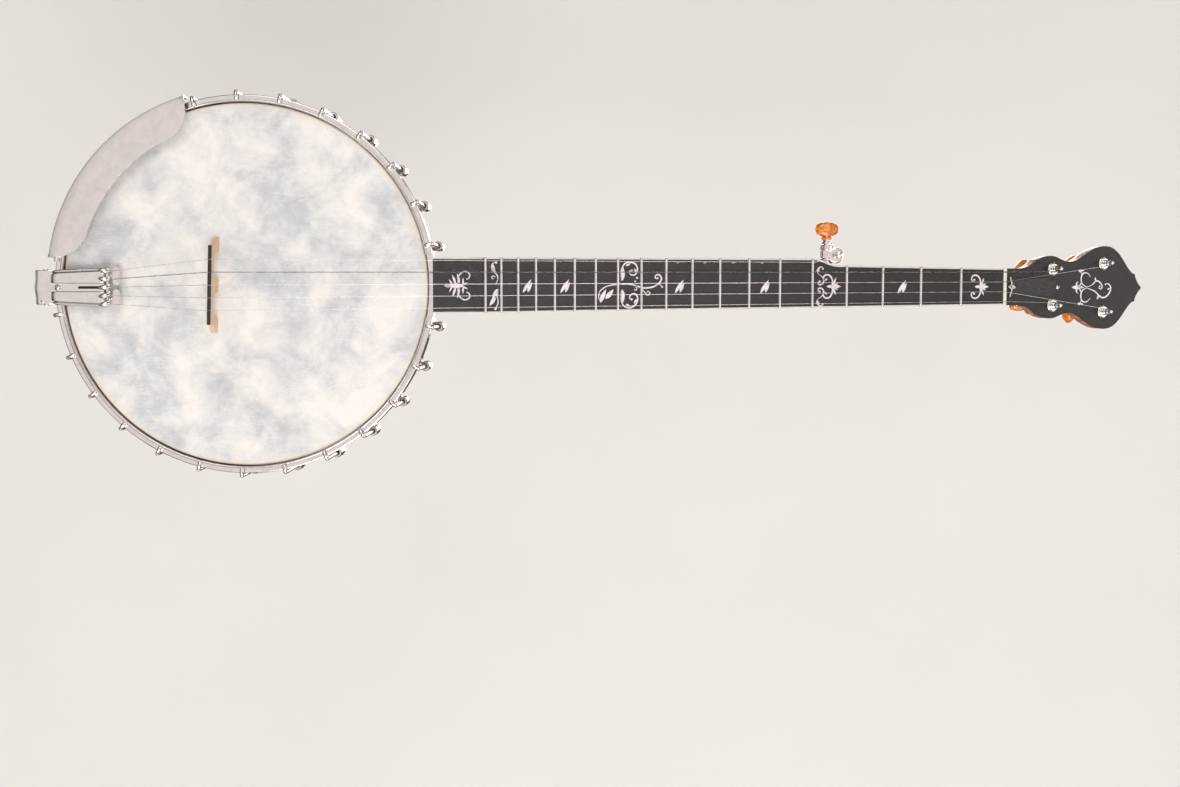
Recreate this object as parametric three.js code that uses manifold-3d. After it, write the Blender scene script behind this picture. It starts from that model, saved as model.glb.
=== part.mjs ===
// Open-back five-string banjo with a 12-inch pot, 26 hooks, a coordinator rod and geared pegs.
// Millimetres, +Z up. It hangs by its peghead, head to the front (-Y): the origin is the point of the
// neck's centre line where the arms of a hanger pass under the peghead.
//
// It is modelled in three nested frames:
//   instrument  x towards the peghead, y to the fifth-string side, z out of the head, origin at the
//               centre of the head's playing face
//   neck        x (u) along the fretboard from its pot end, y (v) across it, z (w) up from its face
//   peghead     x (s) along the peghead from the nut, y (v) across it, z (w) up from its face
import * as THREE from "three";
import { mergeVertices } from "three/addons/utils/BufferGeometryUtils.js";
import Module from "manifold-3d";

const wasm = await Module();
wasm.setup();

// ---- Driving dimensions -------------------------------------------------------------------------

const GAP = 0.3; // between pieces that bear on each other
const GLUE_GAP = 0.2; // between pieces that are glued
const STRING_GAP = 0.15; // between a string and what it crosses
const RING_SIDES = 72; // facets round the pot

// Pot
const RIM_RADIUS = 149.2;
const RIM_WALL = 17;
const POT_DEPTH = 70; // head's face to the rim's back edge
const RIM_CHAMFER = 1.2;
const TONE_RING_WALL = 9;
const TONE_RING_HEIGHT = 8;
const HEAD_THICKNESS = 0.5;
const COLLAR_THICKNESS = 0.6;
const COLLAR_DEPTH = 11;
const FLESH_HOOP_WIDTH = 4.4;
const FLESH_HOOP_HEIGHT = 3;
const HOOP_WIDTH = 6; // radial
const HOOP_HEIGHT = 13;
const HOOP_RISE = 2.5; // above the head's face
const HOOP_LIP = 1.2; // each side of the groove on its top
const HOOP_GROOVE = 1.6;
const HOOP_NOTCH_MARGIN = 3; // the lowered stretch past the fretboard's edge, each side

// Hooks and shoes
const HOOKS_PER_SIDE = 13;
const FIRST_HOOK_ANGLE = 12.6; // degrees from the neck
const HOOK_ANGLE_STEP = 13.2;
const HOOK_WIRE_RADIUS = 1.6;
const HOOK_NUT_RADIUS = 4.3;
const HOOK_NUT_HEIGHT = 8;
const HOOK_TAIL = 6; // thread below the nut
const SHOE_DEPTH = 38; // head's face to the shoe bolt
const SHOE_PLATE = [3, 11, 20]; // thickness, width, height
const SHOE_EAR_HEIGHT = 12;
const SHOE_EAR_RADIUS = 4.2;
const SHOE_BOLT_RADIUS = 2.2;
const BOLT_HOLE_MARGIN = 0.7;
const BOLT_WASHER = [6.2, 1]; // radius, thickness
const BOLT_HEAD = [5.2, 3.5]; // radius, height

// Coordinator rod
const ROD_DEPTH = 42; // head's face to the rod's axis
const ROD_RADIUS = 4;
const ROD_SLEEVE_RADIUS = 5.5;
const ROD_SLEEVE_LENGTH = 26;
const LAG_BOLT_RADIUS = 3;
const LAG_BOLT_LENGTH = 22; // inside the heel
const ROD_NUT_RADIUS = 7;
const ROD_NUT_HEIGHT = 5;

// Neck
const SCALE_LENGTH = 666.75;
const BRIDGE_OFFSET = 25.3; // pot's centre to the bridge, away from the neck
const FRETS = 19;
const NECK_PITCH = THREE.MathUtils.degToRad(3.2);
const BOARD_FACE = 1.2; // fretboard's face over the head's, at its pot end
const BOARD_THICKNESS = 5;
const BOARD_SETBACK = 1.9; // hoop's outer face to the fretboard's end
const HEEL_HALF_WIDTH = 23.2;
const BASS_HALF_WIDTH = 23.6; // as far as the fifth fret
const NUT_HALF_WIDTH = 15.9;
const STEP_LENGTH = 21; // of the curve that ends the fifth string's side
const SCOOP_DEPTH = 1.5;
const FRET_SECTION = [2.2, 1]; // width, height
const NECK_DEPTH_AT_NUT = 16; // under the fretboard
const NECK_DEPTH_AT_HEEL = 20;
const HEEL_DEPTH = 59.5; // under the fretboard
const HEEL_FLAT = 46; // length of its foot
const HEEL_CURVE = 46; // length of the curve from foot to shaft
const HEEL_FOOT_SHARE = 0.58; // foot's width to the heel's
const HEEL_CAP_THICKNESS = 3;
const NUT_THICKNESS = 3.4;
const NUT_RISE = 0.9; // over the fretboard's face
const PIP_RADIUS = 1.1;
const PIP_RISE = 1.6;

// Peghead
const PEGHEAD_TILT = THREE.MathUtils.degToRad(13);
const PEGHEAD_DROP = 3.3; // its face under the fretboard's, at the nut
const PEGHEAD_THICKNESS = 13;
const OVERLAY_THICKNESS = 2;
const PEGHEAD_LENGTH = 145.5;
const COVER_THICKNESS = 1.5;
const COVER_LENGTH = 53;
const COVER_HALF_WIDTH = 8.4;

// Pegs
const PEG_PAIRS = [
  { s: 48.2, v: 15.9 },
  { s: 102.5, v: 21.5 },
];
const POST_RADIUS = 3;
const POST_RISE = 12; // above the overlay
const STRING_ON_POST = 6.5; // height above the overlay
const PEG_BUSHING = [5.8, 1.8]; // radius, height above the overlay
const PEG_BARREL_RADIUS = 4.4; // through the peghead
const PEG_HOUSING = [8.5, 17]; // radius, height behind the peghead
const PEG_BORE_MARGIN = 0.12; // running fit, round the sides of the bore
const BUTTON_SHAFT_RADIUS = 2.6;
const BUTTON_SIZE = [22, 10.5, 13]; // long, wide, high
const BUTTON_STANDOFF = 1.2; // housing to button
const PLANETARY_GRIP = 8; // the button shaft's length inside the housing

// Fifth string's peg, beside the neck
const FIFTH_POST_U = 21.5; // from the fifth fret
const FIFTH_CASE_CLEARANCE = 1.5; // the neck's edge to the case
const FIFTH_SHAFT_U = 14.6; // from the fifth fret
const FIFTH_CASE = [7, 10]; // radius, height
const FIFTH_AXIS_DEPTH = 9; // under the fretboard's face
const FIFTH_POST_RADIUS = 2.6;
const FIFTH_POST_RISE = 7;
const FIFTH_STRING_RISE = 3.2;
const FIFTH_SPIGOT_RADIUS = 3.2;
const FIFTH_SPIGOT_LENGTH = 9;
const FIFTH_BARREL = [5.6, 13.3]; // radius, length out from the spigot's shoulder
const FIFTH_BUTTON = [20.6, 10.5, 15]; // long, wide, high
const FIFTH_BUTTON_STANDOFF = 4.5;

// Strings, from the fifth, on the bass side, to the first
const STRING_RADII = [0.13, 0.32, 0.2, 0.16, 0.13];
const BRIDGE_STRING_SPACING = 10.45;
const NUT_STRING_SPACING = 8.4;
const TAIL_STRING_SPACING = 7;

// Bridge
const BRIDGE_HEIGHT = 16.5;
const BRIDGE_BASE = 79;
const BRIDGE_TOP = 65;
const BRIDGE_THICKNESS = 5;
const BRIDGE_ANGLE = THREE.MathUtils.degToRad(-2);

// Tailpiece
const TAIL_HALF_WIDTH = 16;
const TAIL_BASE_HALF_WIDTH = 14;
const TAIL_LENGTH = 46; // from the hoop's outer face to the string claws
const TAIL_SHEET = 2.4;
const TAIL_STANDOFF = 14; // hoop's outer face to the hanger
const HANGER_HALF_WIDTH = 8;

// Armrest
const ARMREST_ANGLES = [106.8, 171.8];
const ARMREST_CLAMP_HOOKS = [8.5, 10.5]; // between which hooks, counted from the neck
const ARMREST_WIDTH = 28;
const ARMREST_SHEET = 1.4;
const ARMREST_SKIRT = 9;
const ARMREST_CLAMP_WIDTH = 12;

// ---- Derived places -----------------------------------------------------------------------------

const COLLAR_INNER = RIM_RADIUS + GAP;
const COLLAR_OUTER = COLLAR_INNER + COLLAR_THICKNESS;
const HOOP_INNER = COLLAR_OUTER + GAP;
const HOOP_OUTER = HOOP_INNER + HOOP_WIDTH;
const HOOP_BOTTOM = HOOP_RISE - HOOP_HEIGHT;
const FLESH_HOOP_OUTER = COLLAR_INNER + FLESH_HOOP_WIDTH;
const FLESH_HOOP_TOP = HOOP_BOTTOM - GAP;
const FLESH_HOOP_BOTTOM = FLESH_HOOP_TOP - FLESH_HOOP_HEIGHT;
const RIM_INNER = RIM_RADIUS - RIM_WALL;
const RIM_TOP = -HEAD_THICKNESS - GAP - TONE_RING_HEIGHT - GAP;
const HOOK_RADIUS = HOOP_OUTER + GAP + HOOK_WIRE_RADIUS + 0.3;
const HOOK_TOP = HOOP_RISE + GAP + HOOK_WIRE_RADIUS;
const BOARD_END = HOOP_OUTER - BOARD_SETBACK;
const NUT_U = (SCALE_LENGTH - BRIDGE_OFFSET - BOARD_END) / Math.cos(NECK_PITCH);
const ROOT_U = (RIM_RADIUS - BOARD_END) * 1 - 8; // where the heel's loft starts, inside the rim's circle
const PEGHEAD_U = NUT_U + NUT_THICKNESS + GAP + OVERLAY_THICKNESS * Math.sin(PEGHEAD_TILT);
const CORE_TOP = -OVERLAY_THICKNESS - GLUE_GAP;
const CORE_BOTTOM = CORE_TOP - PEGHEAD_THICKNESS;
const TAIL_PLATE_Z = HOOP_RISE + 1.5;
const HANGER_X = -(HOOP_OUTER + TAIL_STANDOFF);
const CLAW_X = -(HOOP_OUTER - TAIL_LENGTH);

const fretU = (n) => NUT_U - (SCALE_LENGTH - SCALE_LENGTH / 2 ** (n / 12));
const FIFTH_FRET_U = fretU(5);

// ---- Frames -------------------------------------------------------------------------------------

const neckMatrix = new THREE.Matrix4()
  .makeTranslation(BOARD_END, 0, BOARD_FACE)
  .multiply(new THREE.Matrix4().makeRotationY(NECK_PITCH));
const pegheadInNeck = new THREE.Matrix4()
  .makeTranslation(PEGHEAD_U, 0, -PEGHEAD_DROP)
  .multiply(new THREE.Matrix4().makeRotationY(PEGHEAD_TILT));
const pegheadMatrix = neckMatrix.clone().multiply(pegheadInNeck);

const HANGER_POINT = new THREE.Vector3(PEGHEAD_U, 0, -BOARD_THICKNESS - NECK_DEPTH_AT_NUT / 2)
  .applyMatrix4(neckMatrix);

const banjo = new THREE.Group();
const instrument = new THREE.Group();
const neckFrame = new THREE.Group();
const pegheadFrame = new THREE.Group();
banjo.add(instrument);
instrument.add(neckFrame);
neckFrame.add(pegheadFrame);

instrument.quaternion.setFromRotationMatrix(
  new THREE.Matrix4().makeBasis(
    new THREE.Vector3(0, 0, 1),
    new THREE.Vector3(-1, 0, 0),
    new THREE.Vector3(0, -1, 0),
  ),
);
instrument.position.copy(HANGER_POINT).negate().applyQuaternion(instrument.quaternion);
neckFrame.position.set(BOARD_END, 0, BOARD_FACE);
neckFrame.rotation.y = NECK_PITCH;
pegheadFrame.position.set(PEGHEAD_U, 0, -PEGHEAD_DROP);
pegheadFrame.rotation.y = PEGHEAD_TILT;

// ---- Shapes into solids -------------------------------------------------------------------------

function signedVolume(positions, index) {
  const [a, b, c] = [new THREE.Vector3(), new THREE.Vector3(), new THREE.Vector3()];
  let sum = 0;
  for (let i = 0; i < index.length; i += 3) {
    a.fromArray(positions, index[i] * 3);
    b.fromArray(positions, index[i + 1] * 3);
    c.fromArray(positions, index[i + 2] * 3);
    sum += a.dot(b.cross(c)) / 6;
  }
  return sum;
}

// A closed geometry as a solid, with its faces turned out.
function solid(geometry) {
  const bare = geometry.clone();
  bare.deleteAttribute("normal");
  bare.deleteAttribute("uv");
  const merged = mergeVertices(bare, 1e-3);
  const vertProperties = merged.attributes.position.array;
  const triVerts = new Uint32Array(merged.index.array);
  if (signedVolume(vertProperties, triVerts) < 0) {
    for (let i = 0; i < triVerts.length; i += 3) {
      [triVerts[i + 1], triVerts[i + 2]] = [triVerts[i + 2], triVerts[i + 1]];
    }
  }
  return new wasm.Manifold(new wasm.Mesh({ numProp: 3, vertProperties, triVerts }));
}

const join = (...solids) => solids.reduce((all, one) => all.add(one));
const cut = (body, ...tools) => tools.reduce((left, tool) => left.subtract(tool), body);

// A solid's copy, moved by a matrix.
function moved(body, matrix) {
  return body.transform(matrix.elements.slice());
}

// A box between two corners.
function box([x0, y0, z0], [x1, y1, z1]) {
  return solid(
    new THREE.BoxGeometry(x1 - x0, y1 - y0, z1 - z0)
      .translate((x0 + x1) / 2, (y0 + y1) / 2, (z0 + z1) / 2),
  );
}

// A round bar between two points.
function bar(radius, from, to, sides = 12, endRadius = radius) {
  const [a, b] = [new THREE.Vector3(...from), new THREE.Vector3(...to)];
  const along = b.clone().sub(a);
  const turn = new THREE.Quaternion().setFromUnitVectors(
    new THREE.Vector3(0, 1, 0),
    along.clone().normalize(),
  );
  return solid(
    new THREE.CylinderGeometry(endRadius, radius, along.length(), sides)
      .applyQuaternion(turn)
      .translate(...a.add(b).multiplyScalar(0.5).toArray()),
  );
}

function ball(radius, at, sides = 8) {
  return solid(new THREE.SphereGeometry(radius, sides, sides / 2).translate(...at));
}

// A closed profile of [radius, z] points turned about the z axis.
function turned(profile, sides = RING_SIDES) {
  const points = [...profile, profile[0]].map(([r, z]) => new THREE.Vector2(r, z));
  return solid(new THREE.LatheGeometry(points, sides).rotateX(Math.PI / 2));
}

// A flat outline from z0 to z1.
function plate(shape, z0, z1, curveSegments = 6) {
  return solid(
    new THREE.ExtrudeGeometry(shape, { depth: z1 - z0, bevelEnabled: false, curveSegments })
      .translate(0, 0, z0),
  );
}

// An outline in the x-z plane, between two values of y.
function sidePlate(shape, y0, y1) {
  return solid(
    new THREE.ExtrudeGeometry(shape, { depth: y1 - y0, bevelEnabled: false, curveSegments: 6 })
      .rotateX(Math.PI / 2)
      .translate(0, y1, 0),
  );
}

function outline(points) {
  return new THREE.Shape(points.map(([x, y]) => new THREE.Vector2(x, y)));
}

// A skin over a row of rings of points, closed at both ends. The rings are convex.
function loft(rings) {
  const count = rings[0].length;
  const index = [];
  for (let i = 0; i + 1 < rings.length; i++) {
    for (let j = 0; j < count; j++) {
      const a = i * count + j;
      const b = i * count + ((j + 1) % count);
      index.push(a, b, b + count, a, b + count, a + count);
    }
  }
  const last = (rings.length - 1) * count;
  for (let j = 1; j + 1 < count; j++) {
    index.push(0, j + 1, j, last, last + j, last + j + 1);
  }
  const geometry = new THREE.BufferGeometry();
  geometry.setAttribute("position", new THREE.Float32BufferAttribute(rings.flat(2), 3));
  geometry.setIndex(index);
  return solid(geometry);
}

// ---- Materials and nodes ------------------------------------------------------------------------

const FINISHES = {
  nickel: { color: 0xd9d4d2, roughness: 0.16, metalness: 1 },
  maple: { color: 0xc77a26, roughness: 0.25, metalness: 0 },
  rim_maple: { color: 0xb8702a, roughness: 0.35, metalness: 0 },
  ebony: { color: 0x2c2829, roughness: 0.45, metalness: 0 },
  head: { color: 0xecebe6, roughness: 0.6, metalness: 0 },
  bone: { color: 0xf0ebd9, roughness: 0.4, metalness: 0 },
  bridge_maple: { color: 0xe6c9a4, roughness: 0.55, metalness: 0 },
  amber: { color: 0xe08a2a, roughness: 0.15, metalness: 0 },
  steel: { color: 0xc8c8c8, roughness: 0.3, metalness: 1 },
};

function node(name, body, finish, parent = instrument) {
  const { vertProperties, triVerts, numProp } = body.getMesh();
  const positions = new Float32Array(triVerts.length * 3);
  triVerts.forEach((v, i) => {
    positions.set(vertProperties.subarray(v * numProp, v * numProp + 3), i * 3);
  });
  const geometry = new THREE.BufferGeometry();
  geometry.setAttribute("position", new THREE.BufferAttribute(positions, 3));
  geometry.computeVertexNormals();
  const mesh = new THREE.Mesh(geometry, new THREE.MeshStandardMaterial(FINISHES[finish]));
  mesh.name = name;
  parent.add(mesh);
  return mesh;
}

const onCircle = (radius, degrees, z) => {
  const angle = THREE.MathUtils.degToRad(degrees);
  return [radius * Math.cos(angle), radius * Math.sin(angle), z];
};

const hookAngles = [1, -1].flatMap((side) =>
  Array.from({ length: HOOKS_PER_SIDE }, (_, k) => side * (FIRST_HOOK_ANGLE + HOOK_ANGLE_STEP * k)),
);

// ---- Pot ----------------------------------------------------------------------------------------

function rim() {
  const back = -POT_DEPTH;
  const ring = turned([
    [RIM_INNER + RIM_CHAMFER, back],
    [RIM_RADIUS - RIM_CHAMFER, back],
    [RIM_RADIUS, back + RIM_CHAMFER],
    [RIM_RADIUS, RIM_TOP],
    [RIM_INNER, RIM_TOP],
    [RIM_INNER, back + RIM_CHAMFER],
  ]);
  const holeRadius = SHOE_BOLT_RADIUS + BOLT_HOLE_MARGIN;
  const boltHoles = hookAngles.map((angle) =>
    bar(
      holeRadius,
      onCircle(RIM_INNER - 2, angle, -SHOE_DEPTH),
      onCircle(RIM_RADIUS + 2, angle, -SHOE_DEPTH),
      8,
    ),
  );
  const reach = RIM_RADIUS + 2;
  const rodHoles = bar(
    LAG_BOLT_RADIUS + BOLT_HOLE_MARGIN,
    [-reach, 0, -ROD_DEPTH],
    [reach, 0, -ROD_DEPTH],
  );
  return cut(ring, ...boltHoles, rodHoles);
}

function toneRing() {
  const top = -HEAD_THICKNESS - GAP;
  const bottom = top - TONE_RING_HEIGHT;
  const inner = RIM_RADIUS - TONE_RING_WALL;
  const crown = inner + TONE_RING_WALL * 0.6;
  return turned([
    [inner, bottom],
    [RIM_RADIUS, bottom],
    [RIM_RADIUS, top - 1.5],
    [RIM_RADIUS - 1, top - 0.3],
    [RIM_RADIUS - 2.5, top],
    [crown, top - 1],
    [inner + 2, bottom + 2.5],
    [inner, bottom + 2],
  ]);
}

// The membrane with its collar, and the flesh hoop that the collar is crimped into.
function drumHead() {
  return turned([
    [0, 0],
    [COLLAR_OUTER - 1.2, 0],
    [COLLAR_OUTER, -1.2],
    [COLLAR_OUTER, FLESH_HOOP_TOP],
    [FLESH_HOOP_OUTER, FLESH_HOOP_TOP],
    [FLESH_HOOP_OUTER, FLESH_HOOP_BOTTOM],
    [COLLAR_INNER, FLESH_HOOP_BOTTOM],
    [COLLAR_INNER, -HEAD_THICKNESS],
    [0, -HEAD_THICKNESS],
  ]);
}

function tensionHoop() {
  const groove = HOOP_RISE - HOOP_GROOVE;
  const ring = turned([
    [HOOP_INNER, HOOP_BOTTOM],
    [HOOP_OUTER, HOOP_BOTTOM],
    [HOOP_OUTER, HOOP_RISE],
    [HOOP_OUTER - HOOP_LIP, HOOP_RISE],
    [HOOP_OUTER - HOOP_LIP, groove],
    [HOOP_INNER + HOOP_LIP, groove],
    [HOOP_INNER + HOOP_LIP, HOOP_RISE],
    [HOOP_INNER, HOOP_RISE],
  ]);
  const half = HEEL_HALF_WIDTH + HOOP_NOTCH_MARGIN;
  const floor = BOARD_FACE - BOARD_THICKNESS - GAP;
  return cut(ring, box([HOOP_INNER - 20, -half, floor], [HOOP_OUTER + 5, half, HOOP_RISE + 5]));
}

// One hook with its nut, and the shoe and bolt that carry it. x is radial, at the pot's centre.
function bracket() {
  const [plateThickness, plateWidth, plateHeight] = SHOE_PLATE;
  const foot = RIM_RADIUS + GAP;
  const earHalf = SHOE_EAR_HEIGHT / 2;
  const nutTop = -SHOE_DEPTH - earHalf;
  const nutBottom = nutTop - HOOK_NUT_HEIGHT;
  const washerFace = RIM_INNER * Math.cos(Math.PI / RING_SIDES) - GAP;
  const headFace = washerFace - BOLT_WASHER[1];
  return join(
    bar(HOOK_WIRE_RADIUS, [HOOK_RADIUS, 0, nutBottom - HOOK_TAIL], [HOOK_RADIUS, 0, HOOK_TOP], 8),
    ball(HOOK_WIRE_RADIUS, [HOOK_RADIUS, 0, HOOK_TOP]),
    bar(HOOK_WIRE_RADIUS, [HOOK_RADIUS, 0, HOOK_TOP], [HOOP_INNER + 1, 0, HOOK_TOP], 8),
    bar(HOOK_NUT_RADIUS, [HOOK_RADIUS, 0, nutBottom], [HOOK_RADIUS, 0, nutTop + 1], 6),
    box(
      [foot, -plateWidth / 2, -SHOE_DEPTH - plateHeight / 2],
      [foot + plateThickness, plateWidth / 2, -SHOE_DEPTH + plateHeight / 2],
    ),
    box(
      [foot + 1, -SHOE_EAR_RADIUS, -SHOE_DEPTH - earHalf],
      [HOOK_RADIUS, SHOE_EAR_RADIUS, -SHOE_DEPTH + earHalf],
    ),
    bar(
      SHOE_EAR_RADIUS,
      [HOOK_RADIUS, 0, -SHOE_DEPTH - earHalf],
      [HOOK_RADIUS, 0, -SHOE_DEPTH + earHalf],
    ),
    bar(SHOE_BOLT_RADIUS, [headFace - 1, 0, -SHOE_DEPTH], [foot + 1, 0, -SHOE_DEPTH], 8),
    bar(BOLT_WASHER[0], [headFace, 0, -SHOE_DEPTH], [washerFace, 0, -SHOE_DEPTH]),
    bar(BOLT_HEAD[0], [headFace - BOLT_HEAD[1], 0, -SHOE_DEPTH], [headFace + 0.2, 0, -SHOE_DEPTH], 6),
  );
}

// A rod across the pot: lag bolt in the heel, and at the tail a bolt, spacer and nut for the hanger.
function coordinatorRod() {
  const inner = RIM_INNER * Math.cos(Math.PI / RING_SIDES) - GAP;
  const axis = (x) => [x, 0, -ROD_DEPTH];
  const spacerEnd = HANGER_X + TAIL_SHEET + GAP;
  const nutFace = HANGER_X - GAP;
  return join(
    bar(ROD_RADIUS, axis(-inner + 1), axis(inner - 1)),
    bar(ROD_SLEEVE_RADIUS, axis(inner - ROD_SLEEVE_LENGTH), axis(inner), 6),
    bar(ROD_SLEEVE_RADIUS, axis(-inner), axis(-inner + ROD_SLEEVE_LENGTH), 6),
    bar(LAG_BOLT_RADIUS, axis(inner - 1), axis(RIM_RADIUS + LAG_BOLT_LENGTH)),
    bar(LAG_BOLT_RADIUS, axis(nutFace - 1), axis(-inner + 1)),
    bar(ROD_NUT_RADIUS, axis(spacerEnd), axis(-RIM_RADIUS - GAP), 12),
    bar(ROD_NUT_RADIUS, axis(nutFace - ROD_NUT_HEIGHT), axis(nutFace), 6),
  );
}

// ---- Neck ---------------------------------------------------------------------------------------

const smoothstep = (t) => t * t * (3 - 2 * t);
const trebleEdge = (u) =>
  THREE.MathUtils.lerp(HEEL_HALF_WIDTH, NUT_HALF_WIDTH, Math.min(Math.max(u, 0) / NUT_U, 1));

function bassEdge(u) {
  const along = THREE.MathUtils.clamp((u - FIFTH_FRET_U - 1) / STEP_LENGTH, 0, 1);
  return THREE.MathUtils.lerp(BASS_HALF_WIDTH, trebleEdge(u), smoothstep(along));
}

// The neck's section across u, under the fretboard: a D that becomes a tapered heel.
function neckSection(u, top) {
  const steps = 6;
  const centre = (bassEdge(u) - trebleEdge(u)) / 2;
  const half = (bassEdge(u) + trebleEdge(u)) / 2 - 0.3;
  const shaft = THREE.MathUtils.lerp(
    NECK_DEPTH_AT_HEEL,
    NECK_DEPTH_AT_NUT,
    THREE.MathUtils.clamp(u / NUT_U, 0, 1),
  );
  const climb = THREE.MathUtils.clamp((u - HEEL_FLAT) / HEEL_CURVE, 0, 1);
  const heel = (1 - climb) ** 2.2;
  const depth = shaft + (HEEL_DEPTH - shaft) * heel;
  const side = (sign) =>
    Array.from({ length: steps + 1 }, (_, k) => {
      const turn = (k / steps) * (Math.PI / 2);
      const drop = Math.sin(turn);
      const round = k === steps ? 0 : Math.cos(turn) ** 0.8;
      const tapered = 1 - (1 - HEEL_FOOT_SHARE) * drop ** 1.3;
      const share = THREE.MathUtils.lerp(round, tapered, Math.sqrt(heel));
      return [u, centre + sign * half * share, top - (depth + top + BOARD_THICKNESS) * drop];
    });
  return [...side(1), ...side(-1).reverse()];
}

function pegheadShape() {
  const half = new THREE.Path();
  half.moveTo(0, NUT_HALF_WIDTH);
  half.bezierCurveTo(13, NUT_HALF_WIDTH, 20, 17.5, 31, 24);
  half.bezierCurveTo(35, 26.5, 40, 27.4, 46, 27.4);
  half.bezierCurveTo(54, 27.4, 57, 22.6, 67, 22.6);
  half.bezierCurveTo(80, 22.6, 86, 37, 105, 37);
  half.bezierCurveTo(122, 37, 126, 17, 135, 12.8);
  half.lineTo(137.8, 12.2);
  half.bezierCurveTo(139, 6, 142, 3, PEGHEAD_LENGTH, 0);
  const points = half.getPoints(6);
  const mirrored = points.slice(0, -1).reverse().map((p) => new THREE.Vector2(p.x, -p.y));
  return new THREE.Shape([...points, ...mirrored]);
}

const pegPlaces = [
  { name: "fourth", s: PEG_PAIRS[0].s, v: PEG_PAIRS[0].v },
  { name: "first", s: PEG_PAIRS[0].s, v: -PEG_PAIRS[0].v },
  { name: "third", s: PEG_PAIRS[1].s, v: PEG_PAIRS[1].v },
  { name: "second", s: PEG_PAIRS[1].s, v: -PEG_PAIRS[1].v },
];

const pegHoles = () =>
  pegPlaces.map(({ s, v }) => bar(PEG_BARREL_RADIUS + 0.4, [s, v, CORE_BOTTOM - 5], [s, v, 5], 16));

function neck() {
  const climbEnd = HEEL_FLAT + HEEL_CURVE;
  const heelPlaces = [0, 0.12, 0.25, 0.4, 0.55, 0.72, 1].map((t) => HEEL_FLAT + HEEL_CURVE * t);
  const stepPlaces = [0, 0.25, 0.5, 0.75, 1].map((t) => FIFTH_FRET_U + 1 + STEP_LENGTH * t);
  const shaftEnd = PEGHEAD_U + 10;
  const places = [ROOT_U, 0, 20, ...heelPlaces, (climbEnd + FIFTH_FRET_U) / 2, ...stepPlaces, NUT_U];
  const shaft = loft([...places, shaftEnd].map((u) => neckSection(u, -BOARD_THICKNESS)));
  const core = moved(plate(pegheadShape(), CORE_BOTTOM, CORE_TOP), pegheadInNeck);
  const aboveCore = moved(box([-GAP, -60, CORE_TOP], [PEGHEAD_LENGTH, 60, 30]), pegheadInNeck);
  const holes = pegHoles().map((hole) => moved(hole, pegheadInNeck));
  const toNeck = neckMatrix.clone().invert();
  const potCut = moved(
    join(
      turned([[0, -2 * POT_DEPTH], [COLLAR_INNER, -2 * POT_DEPTH], [COLLAR_INNER, 50], [0, 50]]),
      turned([
        [0, FLESH_HOOP_BOTTOM - GAP],
        [HOOP_OUTER + 0.4, FLESH_HOOP_BOTTOM - GAP],
        [HOOP_OUTER + 0.4, 50],
        [0, 50],
      ]),
    ),
    toNeck,
  );
  const lagBore = moved(
    bar(
      LAG_BOLT_RADIUS + 0.5,
      [0, 0, -ROD_DEPTH],
      [RIM_RADIUS + LAG_BOLT_LENGTH + 1, 0, -ROD_DEPTH],
    ),
    toNeck,
  );
  const fifthU = FIFTH_FRET_U + FIFTH_SHAFT_U;
  const spigotBore = bar(
    FIFTH_SPIGOT_RADIUS + 0.4,
    [fifthU, fifthShoulder() - FIFTH_SPIGOT_LENGTH - 1, -FIFTH_AXIS_DEPTH],
    [fifthU, fifthShoulder() + 20, -FIFTH_AXIS_DEPTH],
  );
  const upToCore = cut(shaft, aboveCore);
  return cut(join(upToCore, core), potCut, lagBore, spigotBore, ...holes);
}

function heelCap() {
  const half = ((HEEL_HALF_WIDTH + BASS_HALF_WIDTH) / 2) * HEEL_FOOT_SHARE;
  const top = -BOARD_THICKNESS - HEEL_DEPTH - GLUE_GAP;
  const shape = new THREE.Shape();
  shape.moveTo(ROOT_U, -half);
  shape.lineTo(HEEL_FLAT - half * 0.6, -half);
  shape.bezierCurveTo(HEEL_FLAT + 2, -half, HEEL_FLAT + 4, -half * 0.4, HEEL_FLAT + 4, 0);
  shape.bezierCurveTo(HEEL_FLAT + 4, half * 0.4, HEEL_FLAT + 2, half, HEEL_FLAT - half * 0.6, half);
  shape.lineTo(ROOT_U, half);
  const potCut = turned([
    [0, -2 * POT_DEPTH],
    [RIM_RADIUS + GAP, -2 * POT_DEPTH],
    [RIM_RADIUS + GAP, 50],
    [0, 50],
  ]);
  return cut(
    plate(shape, top - HEEL_CAP_THICKNESS, top, 5),
    moved(potCut, neckMatrix.clone().invert()),
  );
}

function fretboard() {
  const stations = [0, FIFTH_FRET_U];
  for (let t = 0; t <= 1; t += 0.125) {
    stations.push(FIFTH_FRET_U + 1 + STEP_LENGTH * t);
  }
  stations.push(NUT_U - GLUE_GAP);
  const bass = stations.map((u) => [u, bassEdge(u)]);
  const treble = [[NUT_U - GLUE_GAP, -trebleEdge(NUT_U)], [0, -trebleEdge(0)]];
  const board = plate(outline([...bass, ...treble]), GLUE_GAP - BOARD_THICKNESS, 0);
  const scoop = box([-1, -40, -SCOOP_DEPTH], [fretU(FRETS) - 2.5, 40, 5]);
  const [width, height] = FRET_SECTION;
  const frets = Array.from({ length: FRETS }, (_, i) => {
    const u = fretU(i + 1);
    const section = outline([
      [u - width / 2, -0.5],
      [u + width / 2, -0.5],
      [u + width / 2, height * 0.4],
      [u + width / 4, height],
      [u - width / 4, height],
      [u - width / 2, height * 0.4],
    ]);
    return sidePlate(section, -trebleEdge(u) + 0.4, bassEdge(u) - 0.4);
  });
  const pip = bar(PIP_RADIUS, pipPlace(-0.5), pipPlace(PIP_RISE), 8);
  return join(cut(board, scoop), ...frets, pip);
}

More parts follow.
